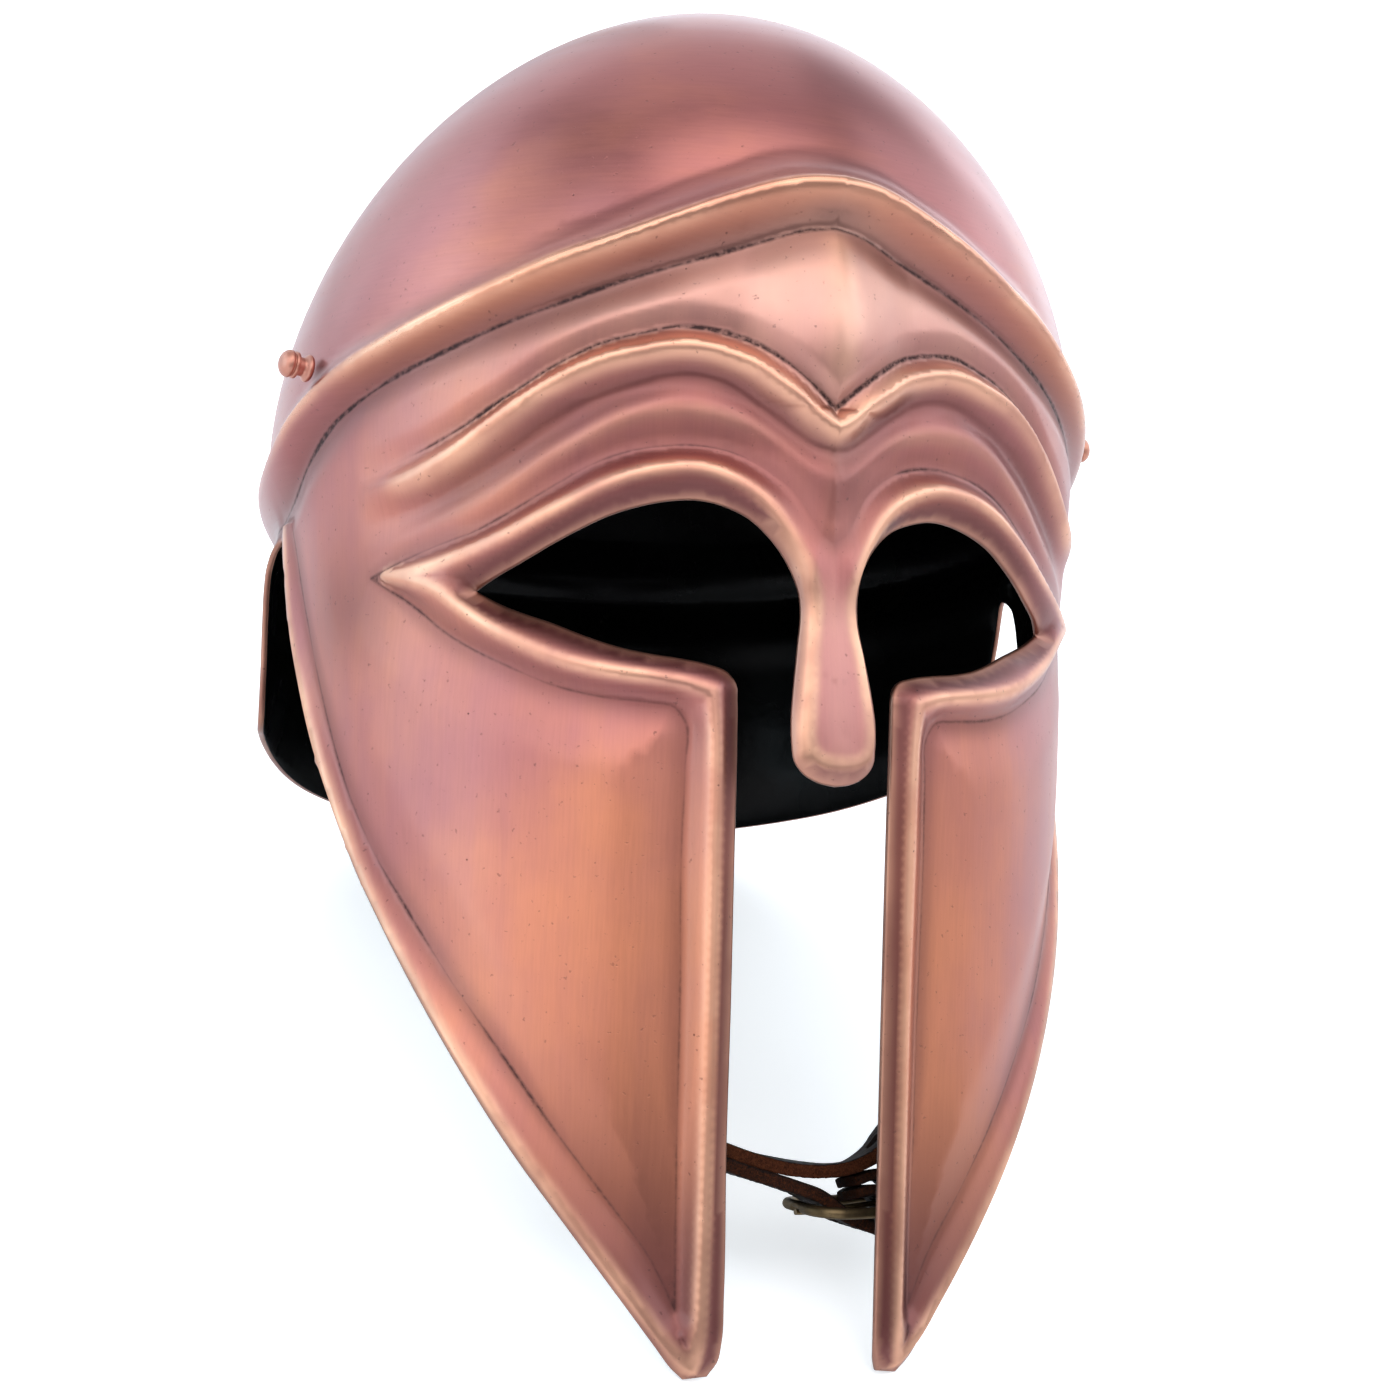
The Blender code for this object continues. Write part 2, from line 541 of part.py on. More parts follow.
def on_shell(angle, height, stand):
    """A point off the plain form and the normal there."""
    flat = np.array([[angle * ARC, float(climb(np.array(height)))]])
    return base(flat)[0] + outward(flat)[0] * stand, outward(flat)[0]


shell = add("helmet_shell", shell_mesh(CELL), COPPER)

# The crest studs: foot, waist, grooved collar and domed head.
STUD_ANGLE = 78.0
STUD_HEIGHT = 117.5
STUD_STAND = 1.0
STUD = table(
    "along radius",
    (0.0, 1.8), (0.6, 3.0), (1.1, 3.1), (1.7, 2.5), (2.1, 2.1), (3.3, 2.1), (3.6, 2.9), (4.3, 3.0),
    (4.5, 2.7), (4.8, 2.7), (5.0, 3.1), (5.8, 3.0), (6.6, 2.5), (7.2, 1.6), (7.5, 0.6),
)
foot, aim = on_shell(STUD_ANGLE, STUD_HEIGHT, STUD_STAND)
for side, sign in (("right", -1), ("left", 1)):
    place = Vector((foot[0] * sign, foot[1], foot[2]))
    way = Vector((aim[0] * sign, aim[1], aim[2]))
    rows = list(zip(STUD["along"], STUD["radius"]))
    add(f"crest_stud_{side}", lathe(f"crest_stud_{side}", rows, place, way), COPPER)


def band(name, centres, normals, width, thick):
    """A strap: a chamfered section carried along its centres, its face turned to each normal."""
    centres = [Vector(point) for point in centres]
    cut = 0.3 * thick
    corners = [
        (-width / 2, -thick / 2 + cut), (-width / 2, thick / 2 - cut),
        (-width / 2 + cut, thick / 2), (width / 2 - cut, thick / 2),
        (width / 2, thick / 2 - cut), (width / 2, -thick / 2 + cut),
        (width / 2 - cut, -thick / 2), (-width / 2 + cut, -thick / 2),
    ]
    points = []
    for k, centre in enumerate(centres):
        ahead = centres[min(k + 1, len(centres) - 1)] - centres[max(k - 1, 0)]
        across = Vector(normals[k]).cross(ahead).normalized()
        face = ahead.cross(across).normalized()
        points += [centre + across * u + face * v for u, v in corners]
    count = len(corners)
    faces = [tuple(range(count)), tuple(len(points) - count + k for k in range(count))]
    for ring in range(len(centres) - 1):
        for k in range(count):
            a, b = ring * count + k, ring * count + (k + 1) % count
            faces.append((a, b, b + count, a + count))
    return solid_from(name, points, faces)


def softened(rows, step):
    """Rows of numbers carried through a smooth curve at about every step mm of the first three."""
    knots = np.array(rows, float)
    chord = np.linalg.norm(np.diff(knots[:, :3], axis=0), axis=1)
    at = np.concatenate([[0.0], np.cumsum(chord)])
    slope = np.gradient(knots, at, axis=0)
    parts = [knots[:1]]
    for k, length in enumerate(chord):
        count = max(1, round(length / step))
        t = (np.arange(count)[:, None] + 1.0) / count
        ahead = t * t * (3 - 2 * t)
        bend = slope[k] * (1 - t) ** 2 * t + slope[k + 1] * t * t * (t - 1)
        parts.append(knots[k] * (1 - ahead) + knots[k + 1] * ahead + length * bend)
    return np.concatenate(parts)


def rod(name, centres, across, tall, closed=False, sides=8):
    """A bar with an eight-sided section, its height given once or for each of its centres."""
    centres = [Vector(point) for point in centres]
    tall = np.broadcast_to(tall, len(centres))
    points = []
    for k, centre in enumerate(centres):
        last = len(centres) - 1
        before = centres[k - 1] if closed else centres[max(k - 1, 0)]
        after = centres[(k + 1) % len(centres)] if closed else centres[min(k + 1, last)]
        ahead = (after - before).normalized()
        up = Vector((0, 0, 1)) if closed else Vector((0, 1, 0))
        side = up.cross(ahead).normalized()
        for j in range(sides):
            turn = 2 * math.pi * (j + 0.5) / sides
            points.append(centre + side * math.cos(turn) * across + up * math.sin(turn) * tall[k])
    faces = []
    if not closed:
        faces = [tuple(range(sides)), tuple(len(points) - sides + k for k in range(sides))]
    for ring in range(len(centres) if closed else len(centres) - 1):
        follow = (ring + 1) % len(centres)
        for k in range(sides):
            m = (k + 1) % sides
            quad = (ring * sides + k, ring * sides + m, follow * sides + m, follow * sides + k)
            faces.append(quad)
    return solid_from(name, points, faces)


def pierce(thing, name, mesh):
    """Cuts a hole through a piece with a hidden cutter."""
    cutter = add(name, mesh, LEATHER_BROWN)
    cutter.hide_render = True
    cutter.display_type = "WIRE"
    hole = thing.modifiers.new(name, "BOOLEAN")
    hole.operation = "DIFFERENCE"
    hole.solver = "EXACT"
    hole.object = cutter


# The anchors inside the cheekpieces: a foot on the wall, a post through the strap and a head.
ANCHOR = table(
    "along radius",
    (0.0, 4.5), (1.0, 4.5), (1.0, 1.6), (4.6, 1.6), (4.6, 3.8), (5.4, 3.6), (6.0, 2.6), (6.2, 1.0),
)
FOOT_GAP = 0.45
STRAP_DEPTH = SHEET + FOOT_GAP + 1.0 + 0.35 + LEATHER / 2
PIN_ANGLE = 33.0
PIN_HEIGHT = -20.0

# The straps between the cheekpieces: centre line, and how far the face tips toward the front.
STRAP_LEFT = [
    (40.4, -70.6, -32.2, -10), (34.6, -68.2, -37.4, -6), (30.6, -67.0, -42.9, -6),
    (28.0, -67.0, -47.0, -8), (24.8, -67.0, -50.0, -10), (21.0, -67.0, -51.9, -11),
    (17.0, -67.0, -52.6, -8), (12.0, -67.0, -52.5, -3), (5.4, -67.0, -51.8, 0),
    (-3.7, -67.0, -49.8, 0), (-11.0, -67.0, -47.4, 0), (-20.0, -67.0, -43.9, 0),
]
STRAP_RIGHT = [
    (-41.5, -70.6, -33.8, -8), (-35.0, -68.4, -39.0, 0), (-28.0, -67.2, -43.3, 0),
    (-20.0, -67.0, -47.5, 0), (-11.0, -67.0, -51.0, 0), (-3.7, -67.0, -53.3, 0),
    (3.0, -67.0, -54.9, 0), (7.5, -67.0, -56.0, 0), (10.5, -67.0, -57.0, 0),
    (13.0, -67.0, -58.4, 0), (16.0, -67.0, -60.6, 0), (19.0, -67.0, -62.3, 0),
    (22.5, -67.0, -63.5, 0), (27.0, -67.0, -64.7, 0), (32.0, -67.0, -65.3, 0),
    (37.0, -67.0, -65.0, 0), (42.0, -67.0, -63.8, 0),
]


def wall_pin(side, reach, along=0.0, lift=0.0):
    """A point inside the cheekpiece's wall about its anchor, and the outward normal there."""
    place, normal = on_shell(PIN_ANGLE + along / ARC, PIN_HEIGHT + lift, -reach)
    mirror = np.array([side, 1.0, 1.0])
    return Vector(place * mirror), Vector(normal * mirror)


def strap(side, rows):
    """A strap's stations: from its end on the wall, past the anchor and along its rows."""
    stations = []
    for along, rise in ((0.0, 8.0), (0.0, 0.0), (-0.8, -6.5)):
        place, normal = wall_pin(side, STRAP_DEPTH, along, rise)
        stations.append((*place, *-normal))
    for x, y, z, tip in rows:
        turn = math.radians(tip)
        stations.append((x, y, z, 0.0, -math.sin(turn), math.cos(turn)))
    return softened(stations, 3.0)


for side, word, rows in ((-1, "right", STRAP_RIGHT), (1, "left", STRAP_LEFT)):
    path = strap(side, rows)
    mesh = band(f"strap_{word}", path[:, :3], path[:, 3:], STRAP_WIDTH, LEATHER)
    piece = add(f"strap_{word}", mesh, LEATHER_BROWN)
    place, outside = wall_pin(side, SHEET + FOOT_GAP)
    shape = list(zip(ANCHOR["along"], ANCHOR["radius"]))
    add(f"strap_anchor_{word}", lathe(f"strap_anchor_{word}", shape, place, -outside), BRASS)
    bore = lathe("bore", [(0.8, 2.0), (6.0, 2.0)], place, -outside, 16)
    pierce(piece, f"anchor_bore_{word}", bore)

# The buckle: a rounded frame, bowed a little, whose far bar carries the prong and the loop.
FREE_X, HINGE_X = 9.4, 32.0
FRAME_Y, FRAME_HALF = -67.0, 11.0
FRAME_Z, BOW, LOW_X = -60.5, 1.2, 16.0
HINGE_Z = FRAME_Z + BOW
BAR = 1.2
NOTCH_DEPTH = 0.5
PRONG, PRONG_WIDE = 0.6, 0.9
corners = []
for x, y, start, bend in (
    (HINGE_X - 4.0, FRAME_Y + FRAME_HALF - 4.0, 0, 4.0),
    (FREE_X + 6.0, FRAME_Y + FRAME_HALF - 6.0, 90, 6.0),
    (FREE_X + 6.0, FRAME_Y - FRAME_HALF + 6.0, 180, 6.0),
    (HINGE_X - 4.0, FRAME_Y - FRAME_HALF + 4.0, 270, 4.0),
):
    for turn in np.radians(np.linspace(start, start + 90, 5)):
        corners.append((x + bend * math.cos(turn), y + bend * math.sin(turn), 0))
    if start in (0, 180):
        corners.append(((FREE_X + HINGE_X) / 2, y + math.copysign(bend, y - FRAME_Y), 0))
    if start == 90:
        notches = ((2.4, 0), (1.5, 1), (-1.5, 1), (-2.4, 0))
        corners += [(FREE_X, FRAME_Y + y, notch) for y, notch in notches]
half = HINGE_X - LOW_X
bowed = [
    (x, y, FRAME_Z + BOW * ((x - LOW_X) / half) ** 2 + notch * NOTCH_DEPTH) for x, y, notch in corners
]
heights = [BAR - notch * NOTCH_DEPTH for _, _, notch in corners]
add("buckle_frame", rod("buckle_frame", bowed, BAR, heights, True), BRASS)

ring = BAR + 0.3 + PRONG
prong = [
    Vector((HINGE_X + ring * math.cos(turn), FRAME_Y, HINGE_Z + ring * math.sin(turn)))
    for turn in np.radians(np.arange(-130, 161, 18))
]
free_z = FRAME_Z + BOW * ((FREE_X - LOW_X) / half) ** 2
tip_z = free_z + 2 * NOTCH_DEPTH - BAR - 0.3 - PRONG
prong += [Vector((x, FRAME_Y, z)) for x, z in ((28.0, -59.6), (22.0, -60.3), (16.0, -60.9))]
prong += [Vector((FREE_X + 1.0, FRAME_Y, tip_z)), Vector((FREE_X - 0.9, FRAME_Y, tip_z))]
add("buckle_prong", rod("buckle_prong", prong, PRONG, PRONG_WIDE), BRASS)

# The loop: a narrow strap folded round the hinge bar, slotted for the prong.
LOOP = 2.4
LOOP_WIDTH = 14.0
wrap = BAR + 0.35 + LOOP / 2
loop = [(20.0, -55.3, -10), (24.5, -53.9, -10), (28.3, -53.9, -5)]
for turn in np.radians(np.arange(75, -141, -18)):
    loop.append((HINGE_X + wrap * math.cos(turn), HINGE_Z + wrap * math.sin(turn), 0))
loop += [(28.3, -58.7, 0), (25.0, -56.9, -6), (20.5, -58.0, -10)]
points = [(x, FRAME_Y, z) for x, z, _ in loop]
faces = []
for step, (_, _, tip) in zip(np.gradient(np.array(points), axis=0), loop):
    along = Vector(step).normalized()
    lean = math.tan(math.radians(tip)) * math.copysign(1.0, along.x)
    faces.append(Vector((-along.z, -lean, along.x)))
loop_mesh = band("buckle_loop", points, faces, LOOP_WIDTH, LOOP)
buckle_loop = add("buckle_loop", loop_mesh, LEATHER_BROWN)


def block(name, low, high):
    """A box between two corners."""
    corners = [low, high]
    points = [(corners[i][0], corners[j][1], corners[k][2]) for i, j, k in np.ndindex(2, 2, 2)]
    faces = [(0, 1, 3, 2), (4, 6, 7, 5), (0, 4, 5, 1), (2, 3, 7, 6), (0, 2, 6, 4), (1, 5, 7, 3)]
    return solid_from(name, points, faces)


slot = block("prong_slot", (26.2, FRAME_Y - 1.4, -66.0), (37.0, FRAME_Y + 1.4, -54.0))
pierce(buckle_loop, "prong_slot", slot)
strap_right = bpy.data.objects["strap_right"]
hole = block("prong_hole", (12.6, FRAME_Y - 1.4, -67.5), (22.4, FRAME_Y + 1.4, -55.0))
pierce(strap_right, "prong_hole", hole)
strap_left = bpy.data.objects["strap_left"]
for count, (x, z, lean) in enumerate(((27.5, -47.6, 50), (15.0, -52.6, 3), (2.5, -51.3, -10))):
    turn = math.radians(lean)
    way = (-math.sin(turn), 0, math.cos(turn))
    hole = lathe("strap_hole", [(-5.0, 2.3), (5.0, 2.3)], (x, FRAME_Y, z), way, 14)
    pierce(strap_left, f"strap_hole_{count + 1}", hole)

# At rest the helmet tips back until the neck rim meets the floor with the cheek tips.
points = np.array([vertex.co for vertex in shell.data.vertices])
ahead, behind = points[points[:, 1] < 0], points[points[:, 1] > 0]
least, most = 0.0, math.radians(60)
for _ in range(40):
    tilt = (least + most) / 2
    fall = np.array([0.0, -math.sin(tilt), math.cos(tilt)])
    if (ahead @ fall).min() < (behind @ fall).min():
        least = tilt
    else:
        most = tilt
run = points @ np.array([0.0, math.cos(tilt), math.sin(tilt)])
rest.rotation_euler = (-tilt, 0.0, 0.0)
rest.location = (0.0, -(run.max() + run.min()) / 2, -(points @ fall).min())
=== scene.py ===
# %% [markdown]
# # A copper face helmet with a buckled chin strap
#
# The real helmet is raised from one sheet: skull, ridge, brow, eye rims, nasal, cheekpieces and
# neck guard are a single skin of metal. It is antiqued copper outside, which means a dark stain
# that was rubbed back to bright metal on everything that stands proud, and gloss black paint
# inside. Two turned studs sit over the ridge, and two lengths of leather meet in a brass buckle
# between the cheekpieces.
#
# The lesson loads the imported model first, because every piece has to sit where its solid sits.

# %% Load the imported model
import math

import bmesh
import bpy
import numpy as np
from mathutils import Matrix, Vector
from mathutils.geometry import delaunay_2d_cdt


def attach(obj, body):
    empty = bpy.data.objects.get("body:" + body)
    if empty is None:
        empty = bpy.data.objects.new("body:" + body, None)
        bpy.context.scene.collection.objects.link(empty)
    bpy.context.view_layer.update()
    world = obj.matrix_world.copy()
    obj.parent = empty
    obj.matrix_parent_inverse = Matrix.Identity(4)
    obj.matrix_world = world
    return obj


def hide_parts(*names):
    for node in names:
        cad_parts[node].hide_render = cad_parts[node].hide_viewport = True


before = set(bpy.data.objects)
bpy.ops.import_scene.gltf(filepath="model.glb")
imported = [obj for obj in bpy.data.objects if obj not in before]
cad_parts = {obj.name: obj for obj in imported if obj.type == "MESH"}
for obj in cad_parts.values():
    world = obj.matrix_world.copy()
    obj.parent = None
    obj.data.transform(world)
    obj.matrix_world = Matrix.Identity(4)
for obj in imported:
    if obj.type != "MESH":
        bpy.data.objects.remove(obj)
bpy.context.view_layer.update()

print("packed nodes:", sorted(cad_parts))

# %% [markdown]
# ## Helmet axes and the way it rests
#
# A helmet is easiest to measure as it is worn: X to the wearer's left, -Y to the front, Z up, in
# millimetres. The finished one lies tipped back onto its cheek tips and neck rim. One matrix
# carries worn positions to lying positions, so no table has to be written twice.

# %% The matrix from worn to lying
MM = 0.001
TIP_BACK = -30.9413
SHIFT_BACK = -14.7497
LIFT = 34.6426
REST = Matrix.Translation((0.0, SHIFT_BACK * MM, LIFT * MM)) @ Matrix.Rotation(
    math.radians(TIP_BACK), 4, "X"
)


def lay_down(points):
    """Worn positions in millimetres as lying positions in metres."""
    turn = np.array(REST.to_3x3())
    return np.asarray(points, float) * MM @ turn.T + np.array(REST.translation)


print("a cheek tip comes to rest at", lay_down([(23.2, -81.0, -92.0)])[0].round(4))

# %% [markdown]
# ## The tables of the raised sheet
#
# The shell could be sculpted, but a smith works from measured sections and lines, and so does
# this lesson. The plain form is a stack of egg-shaped sections under a dome. Every crest and
# crease is a row of stations on it: the angle round the head from the middle of the face, the
# height, and how far the sheet stands proud there. They are the same tables as the solid's, so
# the finer skin falls on it.

# %% Sections, keel, ridge, brow and eyelid fold
SHEET = 1.6  # thickness of the metal
ARC = 1.64  # width of one degree on the unrolled sheet
HALF_TURN = 180 * ARC
DOME_BASE, DOME_RISE, DOME_ARC, DOME_POWER = 105.0, 105.1, 158.0, 1.887
CROWN_LEAN, LEAN_POWER = 19.0, 1.1


def table(names, *rows):
    """Rows of numbers as one array for each named column."""
    return {name: np.array(column, float) for name, column in zip(names.split(), zip(*rows))}


# Horizontal sections: half width at the ears, reach to the front and to the back.
SECTION = table(
    "height half front back",
    (-95, 93.0, 92.0, 103.0),
    (10, 93.0, 92.0, 105.0),
    (55, 93.4, 92.2, 104.0),
    (85, 94.0, 92.4, 105.5),
    (105, 95.6, 92.6, 107.0),
)
# The nasal and the keel above it: how proud, flat half width, width of each flank.
KEEL = table(
    "height proud flat flank",
    (20, 11.2, 9.5, 10.0),
    (38, 11.0, 9.5, 10.0),
    (50, 9.0, 8.0, 12.0),
    (61, 6.4, 6.0, 14.0),
    (75, 5.4, 2.5, 17.0),
    (92, 5.4, 0.0, 20.0),
    (104, 4.4, 0.0, 20.0),
    (120, 6.6, 0.0, 21.0),
    (144, 2.6, 0.0, 20.0),
    (156, 0.0, 0.0, 20.0),
)
# The ridge round the skull: crest and the crease under it, height of the flare over it.
RIDGE = table(
    "angle crest crease flare proud sunk",
    (0, 150.0, 142.9, 13.0, 8.4, -0.6),
    (5, 149.7, 141.9, 13.0, 7.9, -1.0),
    (10, 148.1, 139.6, 13.0, 7.2, -1.4),
    (15, 145.4, 137.0, 12.0, 6.6, -1.8),
    (20, 142.3, 134.4, 12.0, 6.2, -2.0),
    (25, 139.3, 131.8, 11.0, 5.4, -2.2),
    (30, 136.6, 129.0, 10.0, 4.4, -2.2),
    (36, 133.6, 125.5, 9.0, 3.8, -2.2),
    (43, 129.2, 121.7, 8.0, 3.4, -2.0),
    (51, 124.4, 116.9, 8.0, 3.2, -1.8),
    (60, 119.2, 111.8, 8.0, 3.2, -1.4),
    (69, 114.2, 106.0, 8.0, 3.4, -1.2),
    (78, 108.4, 98.2, 8.0, 3.4, -1.2),
    (85, 103.4, 91.0, 8.0, 3.2, -1.2),
    (92, 99.4, 86.4, 8.0, 3.0, -1.2),
    (105, 94.6, 82.0, 8.0, 3.0, -1.2),
    (125, 90.6, 78.6, 8.0, 3.0, -1.2),
    (150, 88.0, 76.4, 8.0, 3.0, -1.2),
    (180, 87.0, 75.6, 8.0, 3.0, -1.2),
)
# The brow: upper crease, crest, lower crease and how far the crest stands over them.
BROW = table(
    "angle upper crest lower proud sunk",
    (0, 105.2, 101.0, 95.6, 1.8, -1.4),
    (2, 108.4, 102.8, 96.6, 1.9, -1.4),
    (4.5, 111.8, 106.6, 99.4, 2.0, -1.3),
    (7.2, 115.0, 109.6, 102.8, 2.1, -1.2),
    (10, 117.6, 112.8, 106.2, 2.2, -1.2),
    (13.5, 119.4, 115.0, 109.0, 2.2, -1.2),
    (17, 120.3, 116.2, 110.1, 2.2, -1.2),
    (20.5, 120.3, 116.1, 109.7, 2.2, -1.2),
    (24, 119.0, 115.0, 108.1, 2.2, -1.2),
    (29, 116.8, 113.0, 105.2, 2.2, -1.2),
    (35, 112.2, 108.4, 99.8, 2.2, -1.2),
    (42, 105.2, 101.2, 92.8, 2.2, -1.2),
    (48, 99.8, 95.0, 87.8, 2.2, -1.2),
    (54, 95.8, 90.6, 84.0, 2.0, -1.1),
    (58, 93.8, 88.9, 82.4, 1.5, -0.9),
    (62, 92.0, 87.9, 81.0, 0.6, -0.4),
    (65, 91.0, 87.4, 80.4, 0.0, 0.0),
)
# The lid fold between the brow and the eye rim.
LID = table(
    "angle crest reach proud",
    (0, 88.0, 5.0, 0.0),
    (6, 97.0, 4.5, 0.4),
    (12, 101.6, 5.0, 0.9),
    (18, 103.2, 5.5, 1.0),
    (25, 101.4, 5.5, 1.0),
    (34, 94.2, 5.0, 0.9),
    (44, 84.6, 4.5, 0.7),
    (54, 79.4, 4.0, 0.3),
    (60, 76.0, 4.0, 0.0),
)
print("ridge stations:", len(RIDGE["angle"]), "brow stations:", len(BROW["angle"]))

# %% [markdown]
# The openings are cut out of the skin, and a rolled border follows them. Three lines describe
# it: the cut edge, the crest of the roll and the crease on its far side. Each line is given in
# runs, because a run ends where the real border turns a sharp corner, such as the eye's.

# %% The cut edge, the border's crest and its crease
OUTLINE = {
    "nasal": [
        (0, 27.0, -2.2), (2.0, 27.6, -2.2), (3.7, 29.1, -2.4), (4.9, 31.8, -2.6), (5.2, 35, -2.8),
        (5.3, 40, -2.8), (5.0, 46, -2.8), (4.7, 50, -2.8), (4.2, 56, -2.6), (3.8, 61, -2.4),
        (3.9, 66, -2.2), (4.8, 71, -2.0), (6.1, 75, -1.6), (7.8, 78.4, -1.2), (10, 81.4, -0.6),
        (12.8, 83.4, 0), (16.3, 84.6, 0), (20, 84.3, 0), (23.7, 83.0, 0.2), (27.5, 81.0, 0.2),
        (31.2, 78.2, 0), (35, 75, -0.2), (38.9, 71.5, -0.4), (42.5, 68.5, -0.6), (45.8, 65.8, -1.6),
    ],
    "eye_bottom": [
        (45.8, 65.8, -1.6), (42, 62.8, -2.6), (38.8, 61.0, -3.0), (35.5, 59.4, -2.8),
        (31, 56.8, -2.4), (26, 54.4, -2.0), (22, 53.2, -1.8), (18, 52.4, -1.6), (14.5, 51.4, -1.4),
        (12, 50.0, -1.4), (10.9, 47.6, -1.4), (10.7, 44, -1.4), (10.6, 36, -1.4), (10.5, 10, -1.4),
        (10.4, -16, -1.4), (10.4, -46, -1.4), (10.2, -75, -1.4), (10.3, -84, -1.4),
        (10.7, -88, -1.6), (11.8, -91.0, -2.0),
    ],
    "cheek_tip": [(11.8, -91.0, -2.0), (14.9, -91.6, -2.0)],
    "cheek_rear": [
        (14.9, -91.6, -2.0), (16.5, -89.3, -1.6), (18.4, -85.5, -1.2), (22.2, -77.9, -1.0),
        (30, -62.8, -1.0), (38, -47.7, -1.0), (45.5, -32.4, -1.0), (53, -16.7, -1.0),
        (60.7, -0.6, -1.0), (64.6, 7.7, -0.8), (68.1, 16.1, -0.6), (71.9, 24.8, -0.6),
        (76.4, 35.8, -0.6), (80.4, 47.1, -0.6), (84.6, 59, -0.6), (87.2, 69, -0.4),
        (89.4, 77, 0), (90.9, 81.0, 0), (92.6, 82.4, 0), (94.2, 81.4, 0), (95.4, 78.5, 0),
        (96.8, 71, 0), (98.0, 61, 0), (98.6, 52, 0), (99.2, 46, 0), (100.2, 42.2, 0),
        (102.2, 40.4, 0), (106, 39.6, 0), (111, 37.8, 0), (118, 34.6, 0), (124, 31.8, 0),
        (130, 29.4, 0), (137, 27.2, 0), (144.5, 25.2, 0), (155, 22.9, 0), (165, 22.0, 0),
        (172, 23.1, 0), (180, 23.8, 0),
    ],
}
CREST = {
    "eye_top": [
        (0, 31.3, 0.2), (2.2, 31.9, 0.2), (3.5, 33.6, 0.2), (4.0, 36.5, 0.2), (3.8, 42, 0.2),
        (3.5, 48, 0.2), (3.2, 54, 0.2), (2.7, 60, 0.2), (2.6, 66, 0.4), (3.5, 71, 0.8),
        (4.8, 75.6, 1.2), (6.0, 79.3, 1.6), (7.6, 83.2, 2.0), (9.8, 86.8, 2.4), (12.9, 89.7, 2.6),
        (16.3, 91.2, 2.8), (19.5, 91.1, 2.8), (23.7, 89.8, 2.8), (28, 87.2, 2.8), (32, 84.0, 2.6),
        (36, 80.7, 2.4), (40, 77.4, 2.2), (43.9, 74.9, 2.0), (47.5, 72.9, 1.8), (51.5, 71.0, 1.6),
        (60.0, 69.7, 1.0),
    ],
    "eye_bottom": [
        (60.0, 69.7, 1.0), (54, 68.0, 1.6), (50.6, 66.2, 1.8), (47.8, 63.5, 1.8),
        (44.4, 59.9, 1.8), (40.7, 56.7, 1.8), (37.5, 54.2, 1.8), (34.1, 52.0, 1.9),
        (28, 49.6, 2.0), (22, 48.3, 2.1), (17.5, 47.2, 2.2), (14.0, 45.6, 2.3),
    ],
    "cheek_front": [
        (14.0, 45.6, 2.3), (13.5, 36, 2.3), (13.2, 13, 2.3), (13.0, -16, 2.3), (13.0, -46, 2.3),
        (13.1, -72, 2.2), (13.3, -84, 1.6), (13.8, -89.4, 0.6),
    ],
    "cheek_rear": [
        (13.8, -89.4, 0.6), (16.6, -85.6, 0.9), (20.7, -77.6, 1.0), (28.4, -62.6, 1.1),
        (36.3, -47.4, 1.1), (43.8, -32.2, 1.1), (51.2, -16.5, 1.1), (58.9, -0.4, 1.1),
        (66.3, 16.4, 1.1), (70.1, 25.2, 1.1), (74.6, 36.4, 1.1), (78.6, 47.8, 1.1),
        (82.8, 60.2, 1.0), (85.4, 70.4, 0.8), (87.4, 78.4, 0.6), (88.8, 84.0, 0.2),
    ],
}
CREASE = {
    "eye_top": [
        (0, 77.0, -0.4), (1.4, 78.6, -0.6), (2.7, 82.0, -0.8), (4.7, 87.3, -1.0), (7.6, 91.3, -1.0),
        (10.6, 94.0, -1.0), (13.8, 95.5, -1.0), (17, 96.0, -1.0), (20.9, 95.6, -1.0),
        (25, 94.4, -1.0), (29.3, 92.0, -1.0), (34, 88.0, -1.0), (38, 84.4, -1.0), (41.9, 81.0, -1.0),
        (46, 78.0, -1.0), (50.4, 76.0, -1.0), (55, 73.8, -1.0), (59, 71.8, -1.0), (63, 69.6, -0.8),
    ],
    "eye_bottom": [
        (63, 69.6, -0.8), (60.3, 67.2, -1.2), (57, 64.6, -1.4), (53.8, 61.4, -1.5),
        (50.4, 57.6, -1.6), (46, 53.8, -1.6), (41.4, 50.6, -1.6), (34.5, 46.3, -1.6),
        (28, 44.0, -1.6), (22, 43.1, -1.6), (18.6, 42.2, -1.6), (17.3, 39.6, -1.6),
        (17.1, 30, -1.6), (17.2, 13, -1.6), (16.8, -16, -1.6), (16.6, -46, -1.6), (16.3, -70, -1.4),
        (16.2, -77.8, -1.2),
    ],
    "cheek_rear": [
        (16.2, -77.8, -1.2), (19.4, -68.2, -1.4), (25.9, -55.2, -1.5), (32.4, -42.8, -1.5),
        (39.4, -29.0, -1.5), (46.9, -15.0, -1.5), (54.6, -0.4, -1.5), (61.6, 12.6, -1.4),
        (67.4, 26, -1.3), (71.6, 38, -1.2), (75.4, 50, -1.1), (79.0, 62, -1.0), (81.8, 72, -0.8),
        (84.0, 80, -0.6), (86.0, 86, -0.4),
    ],
}
print("cut edge stations on one half:", sum(len(rows) for rows in OUTLINE.values()))

# %% [markdown]
# ## Smooth lines through the stations
#
# Straight runs between stations would show as facets in polished metal. A Hermite curve passes
# through each station and takes its slope from the neighbours, which is the numerical cousin of
# bending a thin batten round nails.

# %% Curves through the tables
LINE_STEP = 1.5
BROW_SHARP = 62.0  # degrees: past here the brow fades out


